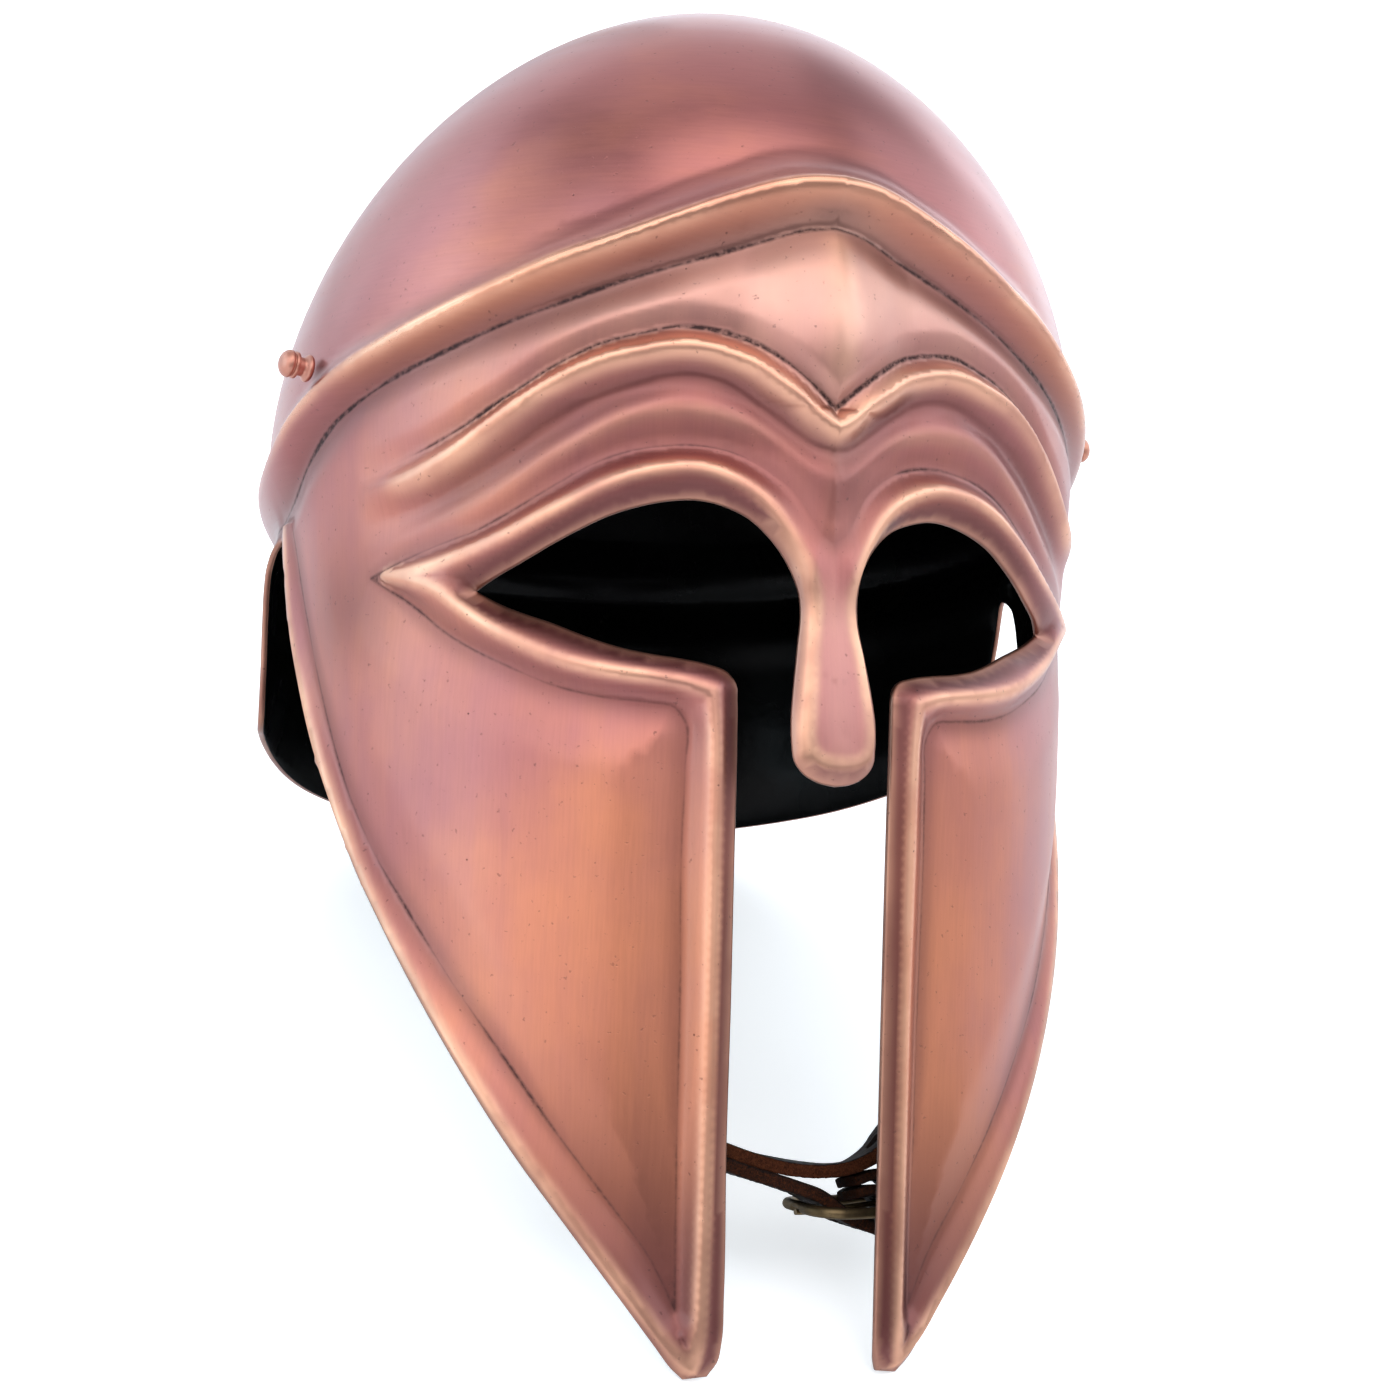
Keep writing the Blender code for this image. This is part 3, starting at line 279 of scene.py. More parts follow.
def ease(t):
    """A smooth step from 0 to 1."""
    t = np.clip(t, 0.0, 1.0)
    return t * t * (3.0 - 2.0 * t)


def climb(height):
    """Distance up the wall: the height itself, and along the curve of the dome above its base."""
    rise = np.clip((height - DOME_BASE) / DOME_RISE, 0.0, 1.0) ** (DOME_POWER / 2)
    return np.minimum(height, DOME_BASE) + DOME_ARC * np.arcsin(rise) / (math.pi / 2)


def between(places, slopes, k, length, t):
    """Part t of the way from place k to the next, on a curve with the slopes at both."""
    bend = slopes[k] * (1 - t) ** 2 * t + slopes[k + 1] * t * t * (t - 1)
    return places[k] * (1 - ease(t)) + places[k + 1] * ease(t) + length * bend


def hermite(knots, chord, slope, step):
    """Points about every step mm along a curve through knots with these slopes."""
    parts = [knots[:1]]
    for k, length in enumerate(chord):
        count = max(1, round(length / step))
        t = (np.arange(count)[:, None] + 1.0) / count
        parts.append(between(knots, slope, k, length, t))
    return np.concatenate(parts)


def smooth(rows, step):
    """A smooth line on the unrolled sheet through rows of angle, height and relief."""
    knots = np.array(rows, float)
    knots[:, 0] *= ARC
    knots[:, 1] = climb(knots[:, 1])
    chord = np.hypot(*np.diff(knots[:, :2], axis=0).T)
    at = np.concatenate([[0.0], np.cumsum(chord)])
    slope = np.gradient(knots, at, axis=0) if len(knots) > 2 else np.diff(knots, axis=0) / at[1]
    return hermite(knots, chord, np.broadcast_to(slope, knots.shape), step)


def line(runs, step):
    """The runs of a line joined, with their corners kept."""
    parts = [smooth(rows, step) for rows in runs.values()]
    return np.concatenate([parts[0]] + [part[1:] for part in parts[1:]])


def graph(columns, name, step, last=180.0):
    """One height column of a table as a line."""
    rows = zip(columns["angle"], columns[name])
    return smooth([(angle, height, 0.0) for angle, height in rows if angle <= last], step)


def curve(columns, name, at, by="angle"):
    """A column at any angle or height, eased through its rows."""
    xs, ys = columns[by], columns[name]
    slope = np.gradient(ys, xs)
    k = np.clip(np.searchsorted(xs, at) - 1, 0, len(xs) - 2)
    width = xs[k + 1] - xs[k]
    return between(ys, slope, k, width, np.clip((at - xs[k]) / width, 0.0, 1.0))


def level(columns, name, angle):
    """A height column of a table at any angle, as distance up the wall."""
    return climb(curve(columns, name, angle))


def folds(step):
    """The lines of the ridge, and those of the brow as far as it is sharp."""
    lines = {f"ridge {name}": graph(RIDGE, name, step) for name in ("crest", "crease")}
    for name in ("upper", "crest", "lower"):
        lines[f"brow {name}"] = graph(BROW, name, step, BROW_SHARP)
    return lines


def past(path):
    """The outline of the field past a line: it closes behind the head and over the crown."""
    back, side, over, front = 200 * ARC, 86.0, TOP + 9, -9.0
    corners = [[back, side], [back, over], [front, over], [front, path[0, 1]]]
    return np.concatenate([path[:, :2], corners])


TOP = float(climb(np.array(DOME_BASE + DOME_RISE)))
EDGE_LINE, CREST_LINE, CREASE_LINE = (line(runs, LINE_STEP) for runs in (OUTLINE, CREST, CREASE))
FOLDS = folds(LINE_STEP)
PAST_CREST, PAST_CREASE = past(CREST_LINE), past(CREASE_LINE)
print("cut edge of one half, mm:", round(np.hypot(*np.diff(EDGE_LINE[:, :2], axis=0).T).sum()))

# %% [markdown]
# ## Which side of a line, and how far from it
#
# Two small questions decide every height on the sheet: how far is this point from a line, and
# is it inside an outline? Both are answered for thousands of points at once with numpy, because
# a Python loop over every vertex would take minutes.

# %% Distance and inside tests
AT_ONCE = 4000
TINY = 1e-9


def nearest(points, path):
    """Distance of each point from a path, and the path's relief there."""
    start, run = path[:-1, :2], np.diff(path[:, :2], axis=0)
    length = np.maximum((run**2).sum(axis=1), TINY)
    found = []
    for first in range(0, len(points), AT_ONCE):
        block = points[first : first + AT_ONCE, None, :]
        t = np.clip(((block - start) * run).sum(axis=2) / length, 0.0, 1.0)
        gap = ((start + t[..., None] * run - block) ** 2).sum(axis=2)
        best = gap.argmin(axis=1)
        row = np.arange(len(best))
        part = t[row, best]
        stand = path[best, 2] * (1 - part) + path[best + 1, 2] * part
        found.append([np.sqrt(gap[row, best]), stand])
    return np.concatenate(found, axis=1)


def gap_to(points, path):
    """Distance of each point from a path, which may lack the column of relief."""
    return nearest(points, np.pad(path[:, :2], ((0, 0), (0, 1))))[0]


def inside(points, polygon):
    """Which points lie inside a polygon."""
    hit = np.zeros(len(points), bool)
    for a, b in zip(polygon, np.roll(polygon, -1, axis=0)):
        if a[1] == b[1]:
            continue
        spans = (points[:, 1] >= min(a[1], b[1])) & (points[:, 1] < max(a[1], b[1]))
        across = a[0] + (points[:, 1] - a[1]) * (b[0] - a[0]) / (b[1] - a[1])
        hit ^= spans & (points[:, 0] < across)
    return hit


eye = np.array([[35.0, 70.0]])
print("the middle of an eye hole is cut out:", not inside(eye, past(EDGE_LINE))[0])

# %% [markdown]
# ## How far the sheet stands out
#
# The relief is a sum of simple waves: the rolled border, the ridge with its flare, the brow,
# the eyelid fold and the keel that runs down into the nasal. A displacement picture could carry
# the same forms, but waves written as functions of distance stay crisp at any mesh density.

# %% The relief of the raised work
FIELD_FADE, BORDER_FADE, BROW_FADE = 9.0, 15.0, 6.0
GUARD_FROM, GUARD_FADE = 92.0, 3.0  # degrees: where the rolled border gives way to the neck guard
RIM_FLARE, RIM_FLARE_WIDTH = 2.2, 16.0
FLARE_TOP, FLARE_FADE = 100.0, 30.0
RIDGE_ROUND, RIDGE_HOLLOW = 1.5, 2.2  # rounding of the crest, and how hollow its flare runs
LID_END, LID_SHARE = 60, 0.7
KEEL_SOFT, KEEL_SOFTER, SOFTER_FROM, SOFTER_OVER = 2.5, 4.5, 96, 16
KEEL_CLIMB, KEEL_HOLLOW, KEEL_LAST = 0.97, 1.6, 30


def border_wave(flat):
    """The roll along the cut edges with the neck guard's flare, and which points lie past it."""
    angle, up = flat[:, 0] / ARC, flat[:, 1]
    edge_gap, edge = nearest(flat, EDGE_LINE)
    crest_gap, crest = nearest(flat, CREST_LINE)
    crease_gap, crease = nearest(flat, CREASE_LINE)
    past_crest, past_crease = inside(flat, PAST_CREST), inside(flat, PAST_CREASE)
    rise = edge_gap / (edge_gap + crest_gap + TINY)
    roll = edge + (crest - edge) * np.sin(0.5 * math.pi * rise)
    fall = crest_gap / (crest_gap + crease_gap + TINY)
    roll = np.where(past_crest, crest + (crease - crest) * ease(fall), roll)
    roll = np.where(past_crest & past_crease, crease * (1 - ease(crease_gap / BORDER_FADE)), roll)
    guard = ease((angle - GUARD_FROM) / GUARD_FADE)
    flare = RIM_FLARE * (1 - np.clip(edge_gap / RIM_FLARE_WIDTH, 0, 1)) ** 2
    flare *= ease((FLARE_TOP - up) / FLARE_FADE)
    return roll * (1 - guard) + flare * guard, past_crease | (angle > 90)


def ridge_wave(angle, up):
    """The ridge, its crease and the flare that leads up to it."""
    crest_up, crease_up = (level(RIDGE, name, angle) for name in ("crest", "crease"))
    proud, sunk, flare = (curve(RIDGE, name, angle) for name in ("proud", "sunk", "flare"))
    over = np.sqrt(np.clip(up - crest_up, 0.0, None) ** 2 + RIDGE_ROUND) - math.sqrt(RIDGE_ROUND)
    over = np.clip(over / flare, 0.0, 1.0)
    under = (crest_up - up) / (crest_up - crease_up)
    ridge = proud + (sunk - proud) * ease(under)
    ridge = np.where(up > crest_up, proud * (1 - over) ** RIDGE_HOLLOW, ridge)
    return np.where(under > 1, sunk * (1 - ease((crease_up - up) / FIELD_FADE)), ridge)


def brow_wave(angle, up):
    """The brow with a crease on each side of it."""
    upper, top, lower = (level(BROW, name, angle) for name in ("upper", "crest", "lower"))
    proud, sunk = curve(BROW, "proud", angle), curve(BROW, "sunk", angle)
    side = np.where(up > top, (up - top) / (upper - top), (top - up) / (top - lower))
    width = np.where(up > top, upper - top, top - lower)
    brow = np.where(side < 1, proud + (sunk - proud) * ease(side), 0.0)
    brow = np.where(side >= 1, sunk * (1 - ease((side - 1) * width / BROW_FADE)), brow)
    return np.where(angle < BROW["angle"][-1], brow, 0.0)


def lid_wave(angle, up):
    """The low fold between the brow and the eye's border."""
    crest, reach, proud = (curve(LID, name, np.minimum(angle, LID_END)) for name in list(LID)[1:])
    return LID_SHARE * proud * (1 - ease(np.abs(up - crest) / reach))


def keel_wave(angle, up):
    """The nasal and the keel over it, which narrows upward to the peak of the ridge."""
    height = np.minimum(up, DOME_BASE) + np.clip(up - DOME_BASE, 0, 60) * KEEL_CLIMB
    out, flat_half, flank = (curve(KEEL, name, height, "height") for name in list(KEEL)[1:])
    soft = KEEL_SOFT + KEEL_SOFTER * ease((up - SOFTER_FROM) / SOFTER_OVER)
    beside = np.clip(angle * ARC - flat_half, 0, None)
    beside = np.sqrt(beside**2 + soft**2) - soft
    flank = np.sqrt(flank**2 + soft**2) - soft
    keel = out * (1 - np.clip(beside / flank, 0, 1)) ** KEEL_HOLLOW
    return np.where(angle < KEEL_LAST, keel, 0.0)


def relief(flat):
    """How far the sheet stands out from the plain form at points of the unrolled half."""
    angle, up = flat[:, 0] / ARC, flat[:, 1]
    roll, field = border_wave(flat)
    waves = ridge_wave(angle, up) + brow_wave(angle, up) + lid_wave(angle, up)
    return roll + keel_wave(angle, up) + np.where(field, waves, 0.0)


# %% [markdown]
# ## From the unrolled sheet to the round form
#
# The half shell is laid out flat, as a pattern cutter would: across is the way round the head,
# up is the way over the dome. `base` wraps that pattern round the sections, and `outward` gives
# the direction in which relief and sheet thickness are measured.

# %% Wrapping the pattern


def base(flat):
    """The plain form: egg-shaped sections under a dome, for points of the unrolled half."""
    turn, up = np.radians(flat[:, 0] / ARC), flat[:, 1]
    lift = np.clip((up - DOME_BASE) / DOME_ARC, 0.0, 1.0) * math.pi / 2
    shrink = np.clip(np.cos(lift), 0.0, 1.0) ** (2 / DOME_POWER)
    rise = np.sin(lift) ** (2 / DOME_POWER)
    half, front, back = (
        np.interp(up, SECTION["height"], SECTION[name]) for name in ("half", "front", "back")
    )
    x = half * shrink * np.sin(turn)
    y = -np.where(np.cos(turn) > 0, front, back) * np.cos(turn) * shrink
    y -= CROWN_LEAN * rise**LEAN_POWER
    z = np.minimum(up, DOME_BASE) + DOME_RISE * rise
    return np.stack([x, y, z], axis=1)


def slant(form, flat, step):
    """The direction in which a form faces, from points a step to each side, above and below."""
    across, along = np.array([step, 0.0]), np.array([0.0, step])
    return np.cross(
        form(flat + across) - form(flat - across), form(flat + along) - form(flat - along)
    )


def outward(flat):
    """Unit normals of the plain form. Those nearest to the crown are taken 1 mm short of it."""
    low = flat - np.array([0.0, 1.0]) * np.clip(flat[:, 1:] - (TOP - 1.0), 0.0, None)
    normal = slant(base, low, 0.4)
    normal[:, 0][(flat[:, 0] < 1e-6) | (flat[:, 0] > HALF_TURN - 1e-6)] = 0.0
    return normal / np.linalg.norm(normal, axis=1)[:, None]


def on_shell(angle, height, stand):
    """A point off the plain form and the normal there."""
    flat = np.array([[angle * ARC, float(climb(np.array(height)))]])
    return base(flat)[0] + outward(flat)[0] * stand, outward(flat)[0]


print("crown of the plain form, mm:", base(np.array([[0.0, TOP]]))[0].round(1))

# %% [markdown]
# ## A net that is fine only where the metal turns
#
# A regular grid fine enough for the creases would spend most of its faces on the plain dome.
# Instead the net has three sizes of cell: small beside every crest and crease, twice that a
# little way off, and four times that on the open skull. The lines themselves are edges of the
# net, through a constrained Delaunay triangulation, so no crest is cut into steps.

# %% The net of one half
FINE = 1.25  # the smallest cell, of which the next line gives parts
ROW_STEP, LINE_STEP_FINE, RIM_CLEAR, LINE_CLEAR = 0.87, 0.85, 1.5, 0.55
NEAR_LINES, MID_FIELD = 7.0, 22.0
LOWEST_ROW, CROWN_POINTS, RING_POINTS = -92.0, 25, 40
LEAST_PINCH = 0.08
SEAM = 1e-3


def pinch(flat, way):
    """Narrows the unrolled half towards the crown as the dome does, or with way -1 undoes it."""
    lift = np.clip((flat[:, 1] - DOME_BASE) / DOME_ARC, 0.0, 1.0) * math.pi / 2
    narrow = (LEAST_PINCH + (1 - LEAST_PINCH) * np.cos(lift) ** (2 / DOME_POWER)) ** way
    middle = 90 * ARC
    return np.stack([middle + (flat[:, 0] - middle) * narrow, flat[:, 1]], axis=1)


def net_outline(step):
    """The cut edge, the seam up the back, the crown and the seam down the front."""
    edge = line(OUTLINE, step)[:, :2]
    rungs = math.ceil((TOP - OUTLINE["cheek_rear"][-1][1]) / (2 * FINE))
    side = np.arange(1, rungs)[:, None] / rungs
    rise = edge[-1] + side * (np.array([edge[-1][0], TOP]) - edge[-1])
    crown = np.linspace(HALF_TURN, 0.0, CROWN_POINTS)
    over = np.stack([crown, np.full(CROWN_POINTS, TOP)], axis=1)
    front = np.array([0.0, TOP])
    return np.concatenate([edge, rise, over, front + side * (edge[0] - front)])


def net_fill(outline, lines):
    """Staggered rows of points, thinned out in two steps away from the lines."""
    rows = []
    ring_turns = np.linspace(0, HALF_TURN, RING_POINTS)
    for k, up in enumerate(np.arange(LOWEST_ROW, TOP - 0.5 * FINE, FINE * ROW_STEP)):
        ring = base(np.stack([ring_turns, np.full(RING_POINTS, up)], axis=1))
        around = np.linalg.norm(np.diff(ring, axis=0), axis=1).sum()
        across = max(3, round(around / FINE))
        u = (np.arange(across) + 0.5 * (k % 2) + 0.25) * HALF_TURN / across
        count = np.arange(across)
        coarse = (k % 2 == 0) & (count % 2 == (k // 2) % 2)
        rare = (k % 4 == 0) & (count % 4 == 2 * ((k // 4) % 2))
        rows.append(np.stack([u, np.full(across, up), coarse, rare], axis=1))
    fill = np.concatenate(rows)
    fill = fill[inside(fill[:, :2], outline)]
    fill = fill[gap_to(fill[:, :2], lines[-1]) > RIM_CLEAR * FINE]
    gap = np.min([gap_to(fill[:, :2], path) for path in lines], axis=0)
    keep = (gap > LINE_CLEAR * FINE) & (gap < NEAR_LINES)
    keep |= (gap >= NEAR_LINES) & (gap < MID_FIELD) & (fill[:, 2] > 0.5)
    keep |= (gap >= MID_FIELD) & (fill[:, 3] > 0.5)
    near_crown = fill[:, 1] > TOP - 2.0 * FINE
    return fill[keep & ~near_crown][:, :2]


def half_net():
    """Points and triangles of the unrolled half, with edges along every crest and crease."""
    step = FINE * LINE_STEP_FINE
    outline = net_outline(step)
    lines = [line(CREST, step), line(CREASE, step), *folds(step).values()]
    points, joins = [outline], [(k, (k + 1) % len(outline)) for k in range(len(outline))]
    count = len(outline)
    for path in lines:
        points.append(path[:, :2])
        joins += [(count + k, count + k + 1) for k in range(len(path) - 1)]
        count += len(path)
    cut_edge = outline[: len(line(OUTLINE, step))]
    points.append(net_fill(outline, lines + [cut_edge]))
    flat = [Vector(point) for point in pinch(np.concatenate(points), 1)]
    made, _, faces, *_ = delaunay_2d_cdt(flat, joins, [], 0, 1e-4)
    made = pinch(np.array([tuple(point) for point in made]), -1)
    made[:, 0] = np.clip(made[:, 0], 0.0, HALF_TURN)
    made[:, 1] = np.minimum(made[:, 1], TOP)
    faces = np.array([face for face in faces if len(face) == 3])
    off_seam = np.abs(made[:, 0] - HALF_TURN / 2) < HALF_TURN / 2 - SEAM
    keep = inside(made[faces].mean(axis=1), outline) & off_seam[faces].any(axis=1)
    return made, faces[keep]


net, net_faces = half_net()
print("net of one half:", len(net), "points,", len(net_faces), "triangles")

# %% [markdown]
# ## Marks left for the finish
#
# The stain stays in the creases and the polishing wheel only reaches the crests. Cycles could
# guess that from the curvature, but a guess differs at every mesh density. Here each vertex
# carries its own measured marks: how close it is to a crest or a crease, whether it lies in a dip
# or where hands and the wheel kept the metal clean, and where it lies on the pattern, which gives
# the brushing a direction. Below, angles are in degrees, and heights and widths in millimetres.

# %% Crest and crease marks


def bell(*gaps):
    """1 in the middle of a mark, and falling off to nothing as the gaps grow past 1."""
    return np.exp(-sum(gap**2 for gap in gaps))


def closeness(flat, path, width):
    return bell(gap_to(flat, path) / width)


def fade(value, first, over):
    """1 up to a first value, and gone once past it by so much."""
    return 1 - ease((value - first) / over)


def flank_mark(flat):
    """1 on the outer face of a border, from its cut edge up to just short of its crest."""
    edge_gap, crest_gap = gap_to(flat, EDGE_LINE), gap_to(flat, CREST_LINE)
    outer = ~inside(flat, PAST_CREST) & (flat[:, 0] < GUARD_FROM * ARC)
    return outer * fade(edge_gap / (edge_gap + crest_gap + TINY), 0.35, 0.65)


def crest_mark(flat):
    """How near each point is to metal that stands proud, from 0 to 1."""
    angle, up = flat[:, 0] / ARC, flat[:, 1]
    border = closeness(flat, CREST_LINE, 2.0) * (1 - 0.7 * flank_mark(flat))
    above = np.maximum((up - level(RIDGE, "crest", angle)) / 2.0, 0.0)
    side_fade = 1 - 0.45 * ease((angle - 70) / 30)
    ridge = 0.85 * closeness(flat, FOLDS["ridge crest"], 2.6) * bell(above) * side_fade
    brow = closeness(flat, FOLDS["brow crest"], 3.4) * fade(angle, 52, 12)
    rim = 0.5 * closeness(flat, EDGE_LINE, 0.6)
    # The keel line is a rubbed crest and a painted highlight: a soft pale streak down the forehead.
    keel = np.array([[0.0, 104.0], [0.0, 140.0]])
    keel = 0.6 * closeness(flat, keel, 4.5) * ease((up - 104) / 12)
    lid_up, _, proud = (curve(LID, name, np.minimum(angle, LID_END)) for name in list(LID)[1:])
    lid = 0.45 * proud * bell((up - lid_up) / 2.5) * (angle < LID_END)
    return np.max([border, ridge, brow, rim, keel, lid], axis=0)


def crease_mark(flat):
    """How near each point is to the bottom of a crease, from 0 to 1."""
    angle, up = flat[:, 0] / ARC, flat[:, 1]
    ridge = closeness(flat, FOLDS["ridge crease"], 1.1) * (1 - 0.3 * ease((angle - 80) / 30))
    low = (angle < 90) * np.where(up > 60, ease((angle - 6) / 6), 1.0)
    border = 0.75 * closeness(flat, CREASE_LINE, 1.1) * low
    upper = closeness(flat, FOLDS["brow upper"], 1.0)
    lower = 0.5 * closeness(flat, FOLDS["brow lower"], 1.1)
    smudge = 0.72 * bell(angle / 8, (level(RIDGE, "crest", angle) - 5.0 - up) / 2.4)
    return np.max([ridge, border, np.maximum(upper, lower) * fade(angle, 50, 12), smudge], axis=0)


def stain_and_shade_mark(flat):
    """Broad stain in the dips, with painted shade there and at the cheek tips, from 0 to 1."""
    angle, up = flat[:, 0] / ARC, flat[:, 1]
    ridge = 0.9 * closeness(flat, FOLDS["ridge crease"], 6.6)
    border = 0.6 * closeness(flat, CREASE_LINE, 3.4) * (angle < 90)
    upper = 0.6 * closeness(flat, FOLDS["brow upper"], 2.6)
    lower = 0.8 * closeness(flat, FOLDS["brow lower"], 5.5)
    brow = np.maximum(upper, lower) * fade(angle, 46, 16)
    root = 0.7 * bell(angle / 8, (up - 88) / 11)
    peak = bell(angle / 10, (level(RIDGE, "crest", angle) - 5.5 - up) / 3.6)
    rim = fade(gap_to(flat, EDGE_LINE), 2.4, 2.2)
    eye_end = 0.6 * bell((angle - 67) / 10, (up - 64) / 13)
    # Painted shade: the colour darkens toward the bottom of the cheekpieces.
    tips = 0.95 * ease((-14 - up) / 62)
    marks = [ridge, border, brow, root, peak, rim, flank_mark(flat), eye_end, tips]
    return np.max(marks, axis=0)


def handled_mark(flat):
    """Broad fields that hands and the wheel keep clean: the fronts of the cheeks and the ridge."""
    angle, up = flat[:, 0] / ARC, flat[:, 1]
    cheek = 0.85 * bell((angle - 19) / 19) * ease((58 - up) / 50) * ease((up + 96) / 50)
    crest_up, crease_up = (level(RIDGE, name, angle) for name in ("crest", "crease"))
    part = (up - crease_up) / (crest_up - crease_up)
    return np.maximum(cheek, 0.75 * bell((part - 0.6) / 0.5) * fade(angle, 45, 45))


def rubbed_mark(flat):
    """Fields that were polished almost bare: the forehead and the face of the nasal."""
    angle, up = flat[:, 0] / ARC, flat[:, 1]
    crease_up, brow_up = level(RIDGE, "crease", angle), level(BROW, "upper", angle)
    middle, half = (crease_up + brow_up) / 2, np.maximum(crease_up - brow_up, 8.0) / 2
    nasal = bell(angle * ARC / 5.0) * ease((72 - up) / 12)
    return np.maximum(bell((up - middle) / half, angle / 34), 0.35 * nasal)


def skull_mark(flat):
    """1 above the ridge's crease, on the skull, and 0 below it."""
    return (flat[:, 1] > level(RIDGE, "crease", flat[:, 0] / ARC)).astype(float)


def brush_lay(flat, skull):
    """Where a point lies along and across the brushing: level on the skull, upright below it."""
    return np.where(skull, flat, flat[:, ::-1] + np.array([0.0, 900.0]))


# %% [markdown]
# ## The raised shell
#
# The skin has an outer wall, an inner wall 1.6 mm behind it and a cut edge between the two. A
# Solidify modifier would do, but it squares off the edge. The real edge is filed, so here the
# last ring of both walls is drawn back and half an ellipse closes the gap. The mirrored half is
# joined along the seam, and the inner wall gets the black paint.

# %% Walls, filed edge and mirrored half
EDGE_ROUND = 0.5
EDGE_TURNS = np.radians([45.0, 90.0, 135.0])
MIRROR = np.array([-1.0, 1.0, 1.0])
WELD, SLIVER = 2e-7, 1e-8
SLANT_STEP = 0.35
EDGE_ZONE, CROWN_ZONE = 1.2, 4.0  # where Blender's own normals are the better ones


def rim_of(faces):
    """The free edges of a set of triangles, each in the direction of its triangle."""
    edges = np.concatenate([faces[:, [0, 1]], faces[:, [1, 2]], faces[:, [2, 0]]])
    both_ways = np.sort(edges, axis=1)
    _, index, count = np.unique(both_ways, axis=0, return_inverse=True, return_counts=True)
    return edges[count[index.reshape(-1)] == 1]


def half_shell(flat, faces):
    """Positions, triangles, quads and their materials for one half, and each vertex's source."""
    stand = relief(flat)[:, None]
    plain, normal = base(flat), outward(flat)
    outer, inner = plain + normal * stand, plain + normal * (stand - SHEET)
    a, b, c = (outer[faces[:, k]] for k in range(3))
    turned = (np.cross(b - a, c - a) * normal[faces[:, 0]]).sum(axis=1) < 0
    faces[turned] = faces[turned][:, ::-1]
    front, back, crown = flat[:, 0] < SEAM, flat[:, 0] > HALF_TURN - SEAM, flat[:, 1] > TOP - SEAM
    for wall in (outer, inner):
        wall[front | back, 0] = 0.0
        wall[crown] = wall[crown].mean(axis=0) * [0.0, 1.0, 1.0]
    rim = rim_of(faces)
    rim = rim[~np.any([mark[rim].all(axis=1) for mark in (front, back, crown)], axis=0)]
    run = outer[rim[:, 1]] - outer[rim[:, 0]]
    beyond = np.zeros_like(outer)
    for k in (0, 1):
        np.add.at(beyond, rim[:, k], np.cross(run, normal[rim[:, k]]))
    beyond[front | back, 0] = 0.0
    ends = np.unique(rim)
    beyond[ends] /= np.linalg.norm(beyond[ends], axis=1)[:, None]
    for wall in (outer, inner):
        wall[ends] -= beyond[ends] * EDGE_ROUND
    middle = (outer[ends] + inner[ends]) / 2
    rings = [
        middle
        + normal[ends] * SHEET / 2 * math.cos(turn)
        + beyond[ends] * EDGE_ROUND * math.sin(turn)
        for turn in EDGE_TURNS
    ]
    rows = np.arange(len(flat))
    place = np.full(len(flat), -1)
    place[ends] = 2 * len(flat) + np.arange(len(ends))
    steps = [rim] + [place[rim] + k * len(ends) for k in range(3)] + [rim + len(flat)]
    quads = [np.stack([p[:, 1], p[:, 0], q[:, 0], q[:, 1]], 1) for p, q in zip(steps, steps[1:])]
    triangles = np.concatenate([faces, faces[:, ::-1] + len(flat)])
    coats = np.repeat([0, 1], len(faces)), np.repeat([0, 0, 0, 1], len(rim))
    source = np.concatenate([rows, rows, ends, ends, ends])
    return np.concatenate([outer, inner] + rings), triangles, np.concatenate(quads), coats, source


def mirrored(points, sides):
    """Points with their mirror images, and for each kind of face the image of its corners."""
    off_seam = np.abs(points[:, 0]) > 1e-6
    image = np.arange(len(points))
    image[off_seam] = len(points) + np.arange(off_seam.sum())
    both = np.concatenate([points, points[off_seam] * MIRROR])
    return both, [np.concatenate([faces, image[faces][:, ::-1]]) for faces in sides], off_seam


def raised(flat):
    """Points of the outer wall."""
    return base(flat) + outward(flat) * relief(flat)[:, None]


def surface_normals(flat):
    """Normals of the raised surface itself. A row of zeros leaves that vertex to Blender."""
    normal = slant(raised, flat, SLANT_STEP)
    normal[(flat[:, 0] < SEAM) | (flat[:, 0] > HALF_TURN - SEAM), 0] = 0.0
    normal /= np.linalg.norm(normal, axis=1)[:, None] + 1e-12
    normal[(gap_to(flat, EDGE_LINE) < EDGE_ZONE) | (flat[:, 1] > TOP - CROWN_ZONE)] = 0.0
    return normal


def store(mesh, name, values):
    """Stores a number or a vector with each vertex."""
    kind, field = ("FLOAT", "value") if values.ndim == 1 else ("FLOAT_VECTOR", "vector")
    mesh.attributes.new(name, kind, "POINT").data.foreach_set(field, values.ravel())


def mended(mesh, weld=0.0, turn=False):
    """A mesh with smooth shading, welded, and either turned outward or freed of slivers."""
    solid = bmesh.new()
    solid.from_mesh(mesh)
    if weld:
        bmesh.ops.remove_doubles(solid, verts=solid.verts, dist=weld)
    if turn:
        bmesh.ops.recalc_face_normals(solid, faces=solid.faces)
    else:
        bmesh.ops.dissolve_degenerate(solid, dist=SLIVER, edges=solid.edges)
    solid.to_mesh(mesh)
    solid.free()
    mesh.polygons.foreach_set("use_smooth", np.ones(len(mesh.polygons), bool))
    return mesh


